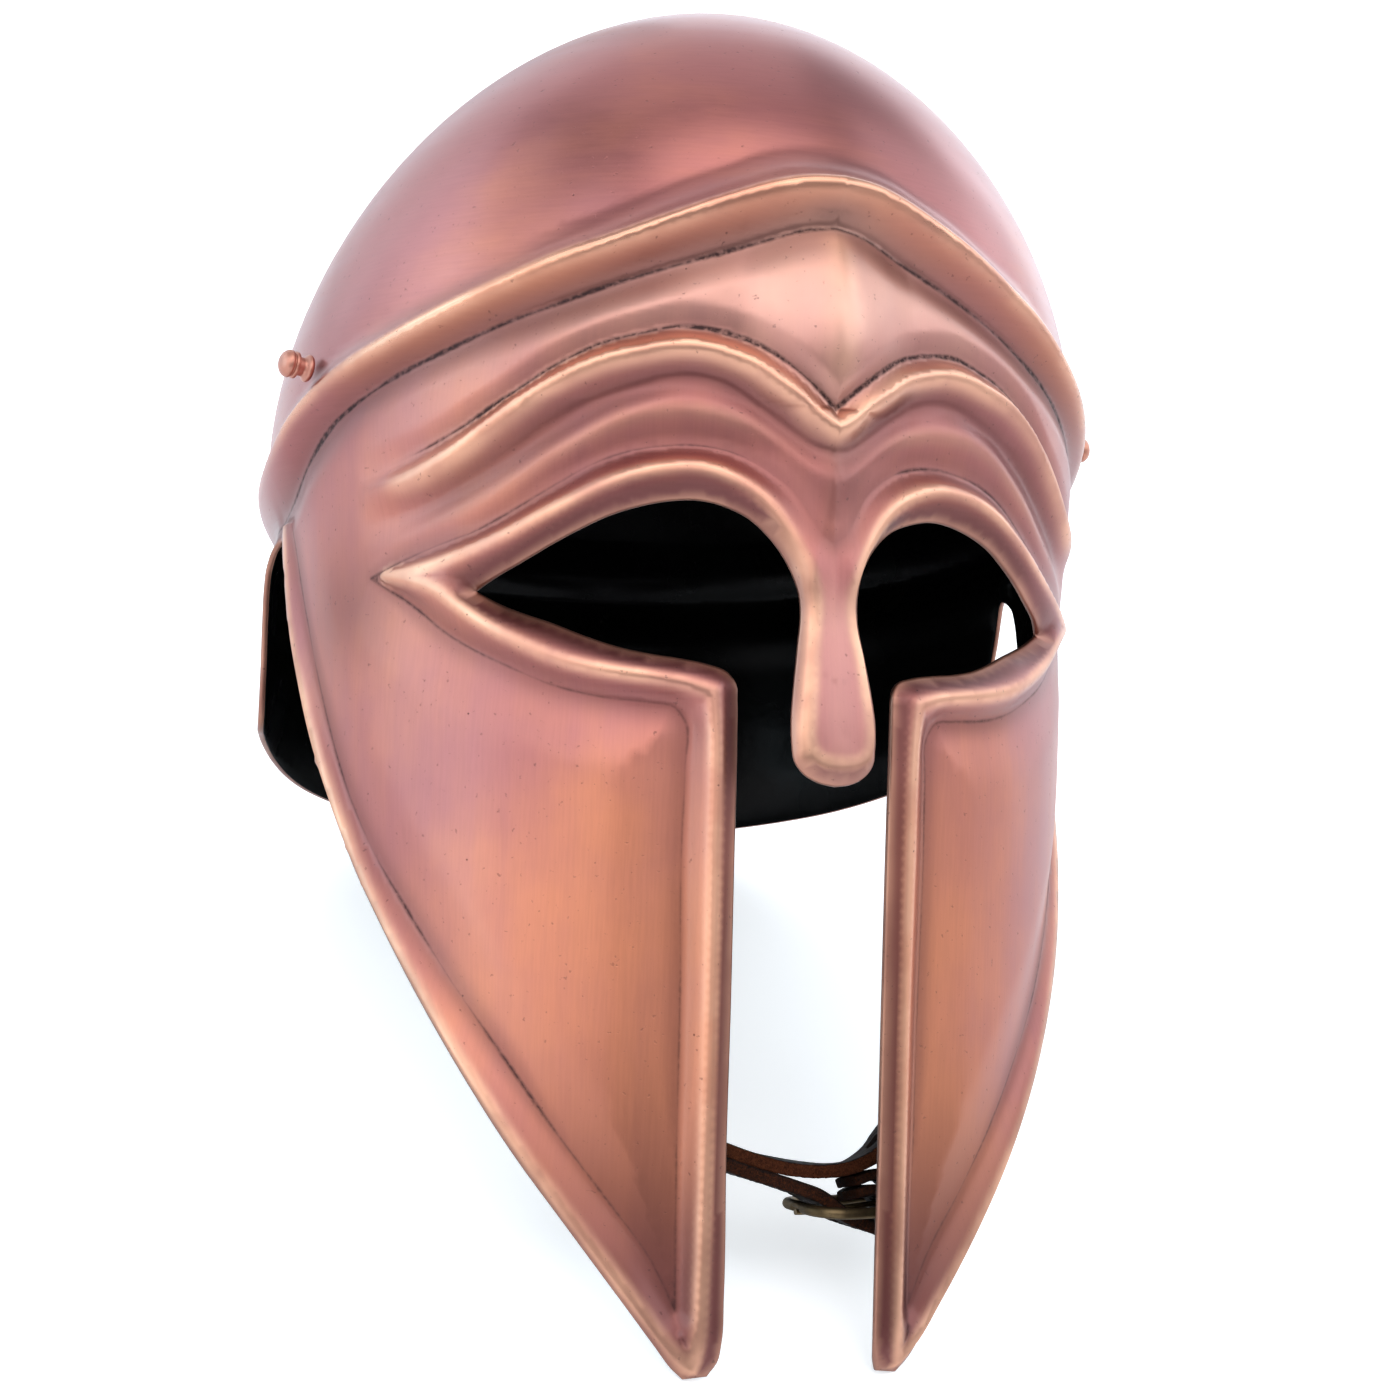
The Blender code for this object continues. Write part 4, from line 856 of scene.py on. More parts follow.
def shell_mesh():
    """The whole shell, with its marks and with normals that don't depend on the net."""
    points, triangles, quads, (walls, edges), source = half_shell(net, net_faces.copy())
    both, (triangles, quads), off_seam = mirrored(points, (triangles, quads))
    mesh = bpy.data.meshes.new("helmet_skin")
    mesh.from_pydata(lay_down(both).tolist(), [], triangles.tolist() + quads.tolist())
    index = np.concatenate([walls, walls, edges, edges]).astype(np.int32)
    mesh.polygons.foreach_set("material_index", index)
    marks = {"crest": crest_mark, "crease": crease_mark, "skull": skull_mark}
    marks |= {"handled": handled_mark, "hollow": stain_and_shade_mark, "rubbed": rubbed_mark}
    for name, marked in marks.items():
        value = marked(net)[source]
        store(mesh, name, np.concatenate([value, value[off_seam]]))
    skull = skull_mark(net)[:, None] > 0.5
    lay = np.pad(brush_lay(net, skull), ((0, 0), (0, 1)))[source]
    flip = np.where(skull[source], [-1.0, 1.0, 1.0], [1.0, -1.0, 1.0])
    store(mesh, "lay", np.concatenate([lay, (lay * flip)[off_seam]]))
    normal = surface_normals(net)
    normal = np.pad(np.concatenate([normal, -normal]), ((0, len(points) - 2 * len(net)), (0, 0)))
    normal = np.concatenate([normal, normal[off_seam] * MIRROR])
    store(mesh, "facing", normal @ np.array(REST.to_3x3()).T)
    mended(mesh, weld=WELD)
    facing = mesh.attributes["facing"]
    normal = [tuple(entry.vector) for entry in facing.data]
    mesh.attributes.remove(facing)
    mesh.normals_split_custom_set_from_vertices(normal)
    return mesh


skin_mesh = shell_mesh()
print("shell:", len(skin_mesh.vertices), "vertices,", len(skin_mesh.polygons), "faces")

# %% [markdown]
# ## A short hand for shader nodes
#
# Materials here are built from nodes in code. Written out in full, each node takes four or five
# lines, so one small helper adds a node, sets its constants and wires its inputs. A value that
# is a socket is linked, anything else is typed in.

# %% The node helper
from functools import partial


def wire(tree, target, inputs):
    """Links each socket among a node's inputs, and types in anything else."""
    for name, value in inputs.items():
        if isinstance(value, bpy.types.NodeSocket):
            tree.links.new(value, target.inputs[name])
        else:
            target.inputs[name].default_value = value
    return target


def node(tree, kind, inputs=None, **settings):
    """Adds a node with its inputs, by name or number, and its settings."""
    made = tree.nodes.new(kind)
    for name, value in settings.items():
        setattr(made, name, value)
    return wire(tree, made, inputs or {})


def maths(operation, tree, *values):
    return node(tree, "ShaderNodeMath", dict(enumerate(values)), operation=operation).outputs[0]


times, plus, less, larger = (
    partial(maths, operation) for operation in ("MULTIPLY", "ADD", "SUBTRACT", "MAXIMUM")
)


def blend_colour(tree, amount, first, second, way="MIX"):
    """Mixes two colours by an amount. A colour mix has them at inputs 6 and 7."""
    inputs = {0: amount, 6: first, 7: second}
    return node(tree, "ShaderNodeMix", inputs, data_type="RGBA", blend_type=way).outputs[2]


def remap(tree, value, low, high, to_low=0.0, to_high=1.0):
    """A smooth step between two bounds."""
    inputs = {"Value": value, "From Min": low, "From Max": high, "To Min": to_low, "To Max": to_high}
    return node(tree, "ShaderNodeMapRange", inputs, interpolation_type="SMOOTHSTEP").outputs[0]


def noise(tree, place, scale, detail, **more):
    inputs = {"Vector": place, "Scale": scale, "Detail": detail, **more}
    return node(tree, "ShaderNodeTexNoise", inputs).outputs["Fac"]


def cells(tree, place, scale):
    return node(tree, "ShaderNodeTexVoronoi", {"Vector": place, "Scale": scale}).outputs


def bumps(tree, height, strength, distance):
    inputs = {"Height": height, "Strength": strength, "Distance": distance}
    return node(tree, "ShaderNodeBump", inputs).outputs[0]


def group(name, vector, numbers, outputs):
    """An empty node group: its tree, what it is given, and the node that puts out its numbers."""
    tree = bpy.data.node_groups.new(name, "ShaderNodeTree")
    tree.interface.new_socket(vector, in_out="INPUT", socket_type="NodeSocketVector")
    for label, value in numbers.items():
        socket = tree.interface.new_socket(label, in_out="INPUT", socket_type="NodeSocketFloat")
        socket.default_value = value
    for label in outputs:
        tree.interface.new_socket(label, in_out="OUTPUT", socket_type="NodeSocketFloat")
    return tree, tree.nodes.new("NodeGroupInput").outputs, tree.nodes.new("NodeGroupOutput")


def placed(tree, name, **inputs):
    """A node group placed in a material with its own values."""
    return node(tree, "ShaderNodeGroup", inputs, node_tree=bpy.data.node_groups[name]).outputs


def material(name):
    made = bpy.data.materials.new(name)
    made.use_nodes = True
    return made, made.node_tree, made.node_tree.nodes["Principled BSDF"]


def object_place(tree):
    return node(tree, "ShaderNodeTexCoord").outputs["Object"]


def attribute(tree, name, output="Fac"):
    return node(tree, "ShaderNodeAttribute", attribute_name=name).outputs[output]


print("helpers ready:", node.__name__, group.__name__, placed.__name__)

# %% [markdown]
# ## Effects that several finishes share
#
# Brushing, stain, rub and fine pitting show on the shell, on the turned studs and on the brass,
# only in other amounts. Each effect is therefore one node group, built once. A group puts out
# plain values, and the material decides what they do.
#
# Brushing is noise that is stretched a long way in one direction. Two sizes are mixed, because
# a wheel leaves both hairlines and broad bands.

# %% Group: brushing
brushing, given, out = group(
    "brushing", "Lay", {"Hairline": 1.6, "Stretch": 0.06}, ["Streak", "Band"]
)
squeeze = node(brushing, "ShaderNodeCombineXYZ", {0: given["Stretch"], 1: 1.0, 2: 1.0}).outputs[0]
lay = node(brushing, "ShaderNodeVectorMath", {0: given["Lay"], 1: squeeze}, operation="MULTIPLY")
lay = lay.outputs[0]
fine = noise(brushing, lay, given["Hairline"], 3.0, Roughness=0.6)
broad = noise(brushing, lay, 0.16, 2.0, Roughness=0.5, Distortion=0.3)
wire(brushing, out, {"Streak": fine, "Band": broad})
print("group made:", brushing.name)

# %% [markdown]
# Stain fills a crease unevenly: it pools, skips and throws specks. The measured crease mark is
# multiplied with noise and pushed through a steep step, so that it breaks into a ragged line.

# %% Group: stain
stain, given, out = group(
    "stain", "Place", {"Mark": 0.0, "Grain": 900.0, "Specks": 0.1}, ["Line", "Haze"]
)
pool = noise(stain, given["Place"], given["Grain"], 4.0)
drift = noise(stain, given["Place"], 55.0, 2.0)
ragged = times(stain, given["Mark"], plus(stain, drift, 0.5))
line_mask = times(stain, remap(stain, ragged, 0.5, 1.0), remap(stain, pool, 0.3, 0.6, 0.45, 0.95))
specks = times(stain, remap(stain, pool, 0.66, 0.74), given["Specks"])
haze = times(stain, given["Mark"], remap(stain, drift, 0.25, 0.7, 0.35, 1.0))
wire(stain, out, {"Line": larger(stain, line_mask, specks), "Haze": haze})
print("group made:", stain.name)

# %% [markdown]
# Rub is the opposite: the wheel polishes a crest along its length, brightest in the middle, and
# thins out in patches. Pitting is a scatter of tiny dents, which Voronoi cells give directly.

# %% Groups: rub and pitting
rub, given, out = group("rub", "Place", {"Mark": 0.0, "Patch": 60.0}, ["Bright"])
uneven = remap(rub, noise(rub, given["Place"], given["Patch"], 3.0), 0.3, 0.65, 0.55, 1.0)
wire(rub, out, {"Bright": times(rub, remap(rub, given["Mark"], 0.08, 1.0), uneven)})

pitting, given, out = group("pitting", "Place", {"Pits": 260.0}, ["Pit"])
dents = cells(pitting, given["Place"], given["Pits"])
chance = node(pitting, "ShaderNodeTexWhiteNoise", {"Vector": dents["Position"]}).outputs["Value"]
small = remap(pitting, dents["Distance"], 0.03, 0.10, 1.0, 0.0)
wire(pitting, out, {"Pit": times(pitting, small, remap(pitting, chance, 0.93, 0.96))})
print("groups made:", rub.name, "and", pitting.name)

# %% [markdown]
# ## Antiqued copper
#
# The finish is built the way the finisher does it. Warm copper first, a mauve-brown stain over
# it that stays thick in the creases and thin elsewhere, then the wheel: brushing over all and a
# bright rub on the crests. The haze of the stain also carries painted shade in the dips and at the
# cheek tips, and the rub on the keel is partly a painted highlight. Metal takes its colour from
# Base Color and its life from Roughness, so both follow the same masks.

# %% Material: antiqued copper
COPPER_WARM = (0.69, 0.250, 0.129, 1.0)
COPPER_MAUVE = (0.400, 0.140, 0.134, 1.0)
COPPER_BARE = (0.92, 0.58, 0.43, 1.0)
COPPER_CREST = (0.88, 0.47, 0.30, 1.0)
STAIN_DARK = (0.028, 0.011, 0.011, 1.0)
# The haze colour is stain, and also painted shade wherever the dip mark runs.
STAIN_AND_SHADE_HAZE = (0.135, 0.040, 0.037, 1.0)
# What a mesh without marks of its own has all over.
EVEN = {"crest": 0.35, "crease": 0.2, "handled": 0.6, "hollow": 0.25, "rubbed": 0.2, "skull": 0.0}


def copper_finish(name, marked):
    """Antiqued copper. A marked mesh brings its own crest and crease marks."""
    made, tree, shader = material(name)
    place = object_place(tree)
    lay = attribute(tree, "lay", "Vector") if marked else place
    mark = {label: attribute(tree, label) if marked else value for label, value in EVEN.items()}
    strokes = placed(tree, "brushing", Lay=lay, Hairline=1.5 if marked else 900.0)
    darks = placed(tree, "stain", Place=place, Mark=mark["crease"], Grain=850.0, Specks=0.35)
    bright = placed(tree, "rub", Place=place, Mark=mark["crest"], Patch=70.0)["Bright"]
    pit = placed(tree, "pitting", Place=place, Pits=300.0)["Pit"]
    cloud = noise(tree, place, 22.0, 4.0)
    # Warm copper under a mauve stain, with the streaks of the brush.
    tone = plus(tree, cloud, times(tree, strokes["Band"], 0.2))
    tone = plus(tree, tone, times(tree, mark["handled"], 0.55))
    tone = less(tree, tone, times(tree, mark["skull"], 0.06))
    colour = blend_colour(tree, remap(tree, tone, 0.44, 1.24), COPPER_MAUVE, COPPER_WARM)
    streak = remap(tree, strokes["Streak"], 0.3, 0.7, 0.965, 1.03)
    streak = node(tree, "ShaderNodeCombineColor", {0: streak, 1: streak, 2: streak}).outputs[0]
    colour = blend_colour(tree, 1.0, colour, streak, "MULTIPLY")
    # Haze of stain and painted shade in the dips and at the cheek tips, bare and bright metal where
    # it is rubbed (on the keel also a painted highlight), and dark stain last.
    shade = times(tree, mark["hollow"], remap(tree, cloud, 0.25, 0.6, 0.7, 1.0))
    shade = larger(tree, shade, times(tree, darks["Haze"], 0.7))
    colour = blend_colour(tree, times(tree, shade, 0.92), colour, STAIN_AND_SHADE_HAZE)
    bare = times(tree, mark["rubbed"], remap(tree, cloud, 0.25, 0.7, 0.3, 0.6))
    colour = blend_colour(tree, bare, colour, COPPER_BARE)
    colour = blend_colour(tree, times(tree, bright, 0.8), colour, COPPER_CREST)
    dark = larger(tree, darks["Line"], times(tree, pit, 0.7))
    rough = remap(tree, plus(tree, strokes["Streak"], strokes["Band"]), 0.7, 1.3, 0.40, 0.44)
    rough = less(tree, rough, times(tree, bright, 0.08))
    rough = less(tree, rough, times(tree, mark["skull"], 0.09))
    wobble = noise(tree, place, 24.0, 2.0)
    height = plus(tree, times(tree, strokes["Streak"], 0.008), times(tree, wobble, 0.5))
    height = less(tree, height, times(tree, dark, 0.12))
    looks = {
        "Base Color": blend_colour(tree, dark, colour, STAIN_DARK),
        "Roughness": plus(tree, rough, times(tree, dark, 0.25)),
        "Metallic": less(tree, 1.0, times(tree, dark, 0.3)),
        "Coat Weight": remap(tree, dark, 0.0, 1.0, 0.4, 0.0),
        "Coat Roughness": 0.22,
        "Normal": bumps(tree, height, 1.0, 0.0006),
    }
    wire(tree, shader, looks)
    return made


COPPER = copper_finish("antiqued_copper", True)
COPPER_TURNED = copper_finish("turned_copper", False)
print("materials:", COPPER.name, COPPER_TURNED.name)

# %% [markdown]
# ## Gloss black inside
#
# The inside is painted. Thick gloss paint levels out except for a slight orange peel, so it is a
# black, smooth dielectric with a faint bump and a little dust that dulls it in patches.

# %% Material: black paint
PAINT_BLACK = (0.002, 0.002, 0.002, 1)
PAINT_DUSTY = (0.005, 0.005, 0.005, 1)
PAINT, tree, shader = material("black_paint")
place = object_place(tree)
dust = noise(tree, place, 30.0, 5.0)
looks = {
    "Base Color": blend_colour(tree, remap(tree, dust, 0.5, 0.8), PAINT_BLACK, PAINT_DUSTY),
    "Roughness": remap(tree, dust, 0.4, 0.75, 0.22, 0.40),
    "Specular IOR Level": 0.08,
    "Normal": bumps(tree, noise(tree, place, 260.0, 1.0), 0.25, 0.0003),
}
wire(tree, shader, looks)
print("material:", PAINT.name)

# %% [markdown]
# ## Putting a piece in the scene
#
# Every piece rides on the one body of this helmet, takes its materials, and hides the imported
# solid it stands for. One function does all of that, so that no piece is forgotten.

# %% The piece function


def shown(name, data):
    """An object of the scene that carries this data."""
    thing = bpy.data.objects.new(name, data)
    bpy.context.scene.collection.objects.link(thing)
    return thing


def piece(name, mesh, coats, slot, *nodes):
    """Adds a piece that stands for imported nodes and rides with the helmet."""
    thing = shown(name, mesh)
    for coat in coats:
        mesh.materials.append(coat)
    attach(thing, "root")
    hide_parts(*nodes)
    return thing


piece("helmet_skin", skin_mesh, (COPPER, PAINT), "copper", "helmet_shell")
skin_box = np.array([tuple(vertex.co) for vertex in skin_mesh.vertices])
print("shell from", skin_box.min(axis=0).round(4), "to", skin_box.max(axis=0).round(4))

# %% [markdown]
# ## Turned pieces: crest studs and strap anchors
#
# Studs and rivets come off a lathe, so their mesh is a profile carried round an axis. The crest
# stud has a foot, a waist, a collar with a groove and a domed head. The anchor inside each
# cheekpiece has a foot on the wall, a post through the strap and a domed head.

# %% The lathe


def lathe_mesh(name, profile, foot, axis, sides=48, step=0.25):
    """A turned solid: rows of distance along the axis and radius, rounded between rows."""
    knots = np.array(profile, float)
    chord = np.hypot(*np.diff(knots, axis=0).T)
    rows = hermite(knots, chord, np.zeros_like(knots), step)
    axis = Vector(axis).normalized()
    one = axis.orthogonal().normalized()
    two = axis.cross(one)
    turn = np.linspace(0, 2 * math.pi, sides, endpoint=False)
    arms = np.cos(turn)[:, None] * np.array(one) + np.sin(turn)[:, None] * np.array(two)
    points = np.array(foot) + rows[:, None, :1] * np.array(axis) + rows[:, None, 1:] * arms
    return tube(name, points)


def tube(name, rings, closed=False):
    """A skin over rings of points, with its ends filled unless it closes on itself."""
    count, sides = rings.shape[:2]
    faces = []
    if not closed:
        last = (count - 1) * sides
        faces = [tuple(range(sides)), tuple(range(last + sides - 1, last - 1, -1))]
    for ring in range(count if closed else count - 1):
        here, there = ring * sides, (ring + 1) % count * sides
        for k in range(sides):
            m = (k + 1) % sides
            faces.append((here + m, here + k, there + k, there + m))
    mesh = bpy.data.meshes.new(name)
    mesh.from_pydata(lay_down(rings.reshape(-1, 3)).tolist(), [], faces)
    mended(mesh, turn=True).set_sharp_from_angle(angle=math.radians(50))
    return mesh


STUD_ANGLE, STUD_HEIGHT, STUD_STAND = 78.0, 117.5, 1.0
STUD = [
    (0.0, 0.05), (0.0, 1.8), (0.25, 2.8), (0.6, 3.05), (1.0, 3.1), (1.3, 2.9), (1.7, 2.4),
    (2.1, 2.1), (3.2, 2.1), (3.45, 2.55), (3.6, 2.95), (4.2, 3.0), (4.4, 2.9), (4.5, 2.65),
    (4.8, 2.65), (4.9, 2.95), (5.1, 3.1), (5.7, 3.05), (6.2, 2.8), (6.7, 2.35), (7.1, 1.75),
    (7.35, 1.0), (7.45, 0.05),
]
foot, aim = on_shell(STUD_ANGLE, STUD_HEIGHT, STUD_STAND)
for side, sign in (("right", -1), ("left", 1)):
    mirror = np.array([sign, 1.0, 1.0])
    mesh = lathe_mesh(f"stud_{side}", STUD, foot * mirror, aim * mirror)
    stud = piece(f"stud_{side}", mesh, (COPPER_TURNED,), "copper", f"crest_stud_{side}")
    print(stud.name, len(mesh.polygons), "faces")

# %% [markdown]
# ## Leather
#
# The straps are cut from thick hide. The grain side is dyed dark and slightly waxed, and the cut
# edges are raw: brown, fuzzy and uneven. Each strap mesh carries a `raw` mark, which is full on
# its edges and half as strong on the flesh side, and the material picks its colour by that mark.
# On the right strap, which runs under the left one, the mark is halved as painted shade, so its
# edges come out darker.

# %% Group: hide grain
hide, given, out = group("hide_grain", "Place", {"Pebble": 700.0}, ["Grain", "Fibre"])
pebbles = cells(hide, given["Place"], given["Pebble"])["Distance"]
grain = times(hide, plus(hide, pebbles, noise(hide, given["Place"], 180.0, 6.0)), 0.5)
fibre = noise(hide, given["Place"], 1900.0, 6.0, Roughness=0.75, Distortion=1.2)
wire(hide, out, {"Grain": grain, "Fibre": fibre})
print("group made:", hide.name)

# %% Material: strap leather
GRAIN_DARK = (0.006, 0.0035, 0.0030, 1.0)
GRAIN_BROWN = (0.020, 0.009, 0.006, 1.0)
RAW_BROWN = (0.026, 0.007, 0.003, 1.0)
RAW_PALE = (0.105, 0.030, 0.011, 1.0)
LEATHER, tree, shader = material("strap_leather")
grains = placed(tree, "hide_grain", Place=object_place(tree), Pebble=800.0)
fibre = grains["Fibre"]
top_colour = blend_colour(tree, remap(tree, grains["Grain"], 0.3, 0.7), GRAIN_DARK, GRAIN_BROWN)
raw_colour = blend_colour(tree, remap(tree, fibre, 0.35, 0.7), RAW_BROWN, RAW_PALE)
# The raw mark also carries painted shade: where it is scaled down, the dark grain colour covers the
# edges.
ragged = plus(tree, attribute(tree, "raw"), times(tree, less(tree, fibre, 0.5), 0.7))
raw_mask = remap(tree, ragged, 0.35, 0.65)
looks = {
    "Base Color": blend_colour(tree, raw_mask, top_colour, raw_colour),
    "Roughness": remap(tree, raw_mask, 0.0, 1.0, 0.55, 0.92),
    "Specular IOR Level": 0.08,
    "Normal": bumps(tree, plus(tree, grains["Grain"], times(tree, fibre, raw_mask)), 0.7, 0.0004),
}
wire(tree, shader, looks)
print("material:", LEATHER.name)

# %% [markdown]
# ## Antique brass
#
# The buckle and the anchors are cast brass that was darkened and tumbled: brown-green in the
# dips, worn to yellow on the rounds. It shares the stain, rub and pitting of the copper.

# %% Material: antique brass
BRASS_BROWN, BRASS_HAZE = (0.12, 0.080, 0.040, 1), (0.045, 0.031, 0.020, 1)
BRASS_WORN, BRASS_DARK = (0.42, 0.29, 0.14, 1), (0.016, 0.011, 0.008, 1)
BRASS, tree, shader = material("antique_brass")
place = object_place(tree)
bright = placed(tree, "rub", Place=place, Mark=attribute(tree, "worn"), Patch=420.0)["Bright"]
darks = placed(tree, "stain", Place=place, Mark=0.55, Grain=1500.0, Specks=0.6)
pits = placed(tree, "pitting", Place=place, Pits=1400.0)
colour = blend_colour(tree, darks["Haze"], BRASS_BROWN, BRASS_HAZE)
colour = blend_colour(tree, bright, colour, BRASS_WORN)
dark = larger(tree, darks["Line"], pits["Pit"])
looks = {
    "Base Color": blend_colour(tree, dark, colour, BRASS_DARK),
    "Roughness": remap(tree, bright, 0.0, 1.0, 0.48, 0.28),
    "Metallic": remap(tree, dark, 0.0, 1.0, 0.95, 0.5),
    "Normal": bumps(tree, less(tree, 1.0, dark), 0.5, 0.0002),
}
wire(tree, shader, looks)
print("material:", BRASS.name)

# %% [markdown]
# ## The straps
#
# A strap could be a flat band with a Solidify modifier. Close up, though, the light line along a
# strap is its rough cut edge, so the section is drawn in full: a slightly hollow flesh side, a
# softly rounded grain side and two raw edges whose width wanders as a knife does. The section is
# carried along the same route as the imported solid.

# %% Routes of the two straps
LEATHER_THICK, STRAP_WIDTH = 3.0, 16.0
FOOT_GAP, FOOT_THICK, STRAP_GAP = 0.45, 1.0, 0.35  # the anchor's foot between wall and strap
STRAP_DEPTH = SHEET + FOOT_GAP + FOOT_THICK + STRAP_GAP + LEATHER_THICK / 2
PIN_ANGLE, PIN_HEIGHT = 33.0, -20.0
STRAP_HEAD = ((0.0, 8.0), (0.0, 0.0), (-0.8, -6.5))  # stations about the anchor, on the wall
ROUTE_STEP = 3.0
FRAME_Y = -67.0
STRAP_LEFT = [
    (40.4, -70.6, -32.2, -10), (34.6, -68.2, -37.4, -6), (30.6, FRAME_Y, -42.9, -6),
    (28.0, FRAME_Y, -47.0, -8), (24.8, FRAME_Y, -50.0, -10), (21.0, FRAME_Y, -51.9, -11),
    (17.0, FRAME_Y, -52.6, -8), (12.0, FRAME_Y, -52.5, -3), (5.4, FRAME_Y, -51.8, 0),
    (-3.7, FRAME_Y, -49.8, 0), (-11.0, FRAME_Y, -47.4, 0), (-20.0, FRAME_Y, -43.9, 0),
]
STRAP_RIGHT = [
    (-41.5, -70.6, -33.8, -8), (-35.0, -68.4, -39.0, 0), (-28.0, -67.2, -43.3, 0),
    (-20.0, FRAME_Y, -46.85, 0), (-11.0, FRAME_Y, -50.3, 0), (-3.7, FRAME_Y, -52.7, 0),
    (3.0, FRAME_Y, -54.6, 0), (7.5, FRAME_Y, -56.0, 0), (10.5, FRAME_Y, -57.0, 0),
    (13.0, FRAME_Y, -58.4, 0), (16.0, FRAME_Y, -60.6, 0), (19.0, FRAME_Y, -62.3, 0),
    (22.5, FRAME_Y, -63.5, 0), (27.0, FRAME_Y, -64.7, 0), (32.0, FRAME_Y, -65.3, 0),
    (37.0, FRAME_Y, -65.0, 0), (42.0, FRAME_Y, -63.8, 0),
]


def softened(rows, step):
    """Rows of numbers carried through a smooth curve at about every step mm of the first three."""
    knots = np.array(rows, float)
    chord = np.linalg.norm(np.diff(knots[:, :3], axis=0), axis=1)
    at = np.concatenate([[0.0], np.cumsum(chord)])
    return hermite(knots, chord, np.gradient(knots, at, axis=0), step)


def wall_pin(side, reach, along=0.0, lift=0.0):
    """A point inside the cheekpiece's wall about its anchor, and the outward normal there."""
    place, normal = on_shell(PIN_ANGLE + along / ARC, PIN_HEIGHT + lift, -reach)
    mirror = np.array([side, 1.0, 1.0])
    return place * mirror, normal * mirror


def strap_route(side, rows):
    """A strap's stations: from its end on the wall, past the anchor and along its rows."""
    stations = []
    for along, rise in STRAP_HEAD:
        place, normal = wall_pin(side, STRAP_DEPTH, along, rise)
        stations.append((*place, *-normal))
    for x, y, z, tip in rows:
        turn = math.radians(tip)
        stations.append((x, y, z, 0.0, -math.sin(turn), math.cos(turn)))
    return softened(stations, ROUTE_STEP)


routes = {"right": strap_route(-1, STRAP_RIGHT), "left": strap_route(1, STRAP_LEFT)}
for side, route in routes.items():
    length = np.linalg.norm(np.diff(route[:, :3], axis=0), axis=1).sum()
    print("strap", side, "is", round(length), "mm long")

# %% [markdown]
# The wandering edge has to be repeatable, so it comes from a seeded random generator whose
# values are smoothed along the strap. The rings are spaced closely, about 0.6 mm, which lets the
# raw edge show as real roughness in silhouette.

# %% The band maker
WANDER = ((6, 0, 0.06), (1, 9, 0.05))  # rings it spreads over, shift of the seed, amount
WANDER_IN, WANDER_OUT = -0.3, 0.12
FUZZ, FUZZ_IN, FUZZ_OUT = 0.08, -0.06, 0.16
END_REACH, END_ROUND = 2.0, 0.16


def drifting(count, spread, seed):
    """Random numbers that change slowly along a row."""
    rough = np.random.default_rng(seed).normal(size=count + 2 * spread)
    kernel = np.hanning(2 * spread + 1)
    return np.convolve(rough, kernel / np.sqrt((kernel**2).sum()), "valid")


def leather_section(width, thick):
    """Corners of the section as across, through and rawness: grain side, edge, flesh side, edge."""
    w, h = width / 2, thick / 2
    half = [
        (0.0, h, 0), (0.35 * w, h, 0), (0.7 * w, h - 0.02, 0), (w - 0.9, h - 0.06, 0),
        (w - 0.4, h - 0.16, 0.25), (w - 0.14, h - 0.38, 0.8), (w - 0.03, 0.45 * h, 1),
        (w, 0.1 * h, 1), (w - 0.03, -0.3 * h, 1), (w - 0.1, -h + 0.35, 1),
        (w - 0.35, -h + 0.1, 0.85), (w - 1.0, -h + 0.03, 0.55), (0.6 * w, -h + 0.08, 0.4),
    ]
    mirror = [(-across, through, raw_and_shade) for across, through, raw_and_shade in half[:0:-1]]
    return np.array(half + [(0.0, -h + 0.1, 0.4)] + mirror)


def across_and_face(ahead, normal):
    """Unit directions across a strap and out of its grain side."""
    across = np.cross(normal, ahead)
    across /= np.linalg.norm(across)
    face = np.cross(ahead, across)
    return across, face / np.linalg.norm(face)


def band_rings(centres, normals, width, thick, seed, step=0.6):
    """Rings of a strap along its route, with a wandering raw edge, and how raw each corner is."""
    path = softened(np.concatenate([centres, normals], axis=1), step)
    section = leather_section(width, thick)
    out, raw_and_shade = section[:, 0], section[:, 2]
    cut_edge = raw_and_shade > 0.7
    count = len(path)
    wander = [
        sum(drifting(count, spread, seed + shift + k) * amount for spread, shift, amount in WANDER)
        for k in (0, 1)
    ]
    rings = []
    for k in range(count):
        ahead = path[min(k + 1, count - 1), :3] - path[max(k - 1, 0), :3]
        across, face = across_and_face(ahead, path[k, 3:])
        drift = np.where(out > 0, wander[0][k], wander[1][k]) * cut_edge
        drift = np.clip(drift, WANDER_IN, WANDER_OUT) - WANDER_OUT * cut_edge
        u = out + np.sign(out) * drift
        fuzz = np.random.default_rng(seed * 1000 + k).normal(size=len(section)) * FUZZ * raw_and_shade
        v = section[:, 1] + np.clip(fuzz, FUZZ_IN, FUZZ_OUT)
        rings.append(path[k, :3] + u[:, None] * across + v[:, None] * face)
    return np.array(rings), np.tile(raw_and_shade, count)


def round_ends(rings):
    """Draws the first and last rings together, so that each end has softened corners."""
    for order in (range(len(rings)), range(len(rings) - 1, -1, -1)):
        start = rings[order[0]].mean(axis=0)
        for k in order:
            middle = rings[k].mean(axis=0)
            gap = np.linalg.norm(middle - start)
            if gap > END_REACH:
                break
            keep = 1 - END_ROUND * (1 - math.sqrt(max(0.0, 1 - (1 - gap / END_REACH) ** 2)))
            rings[k] = middle + (rings[k] - middle) * keep
    return rings


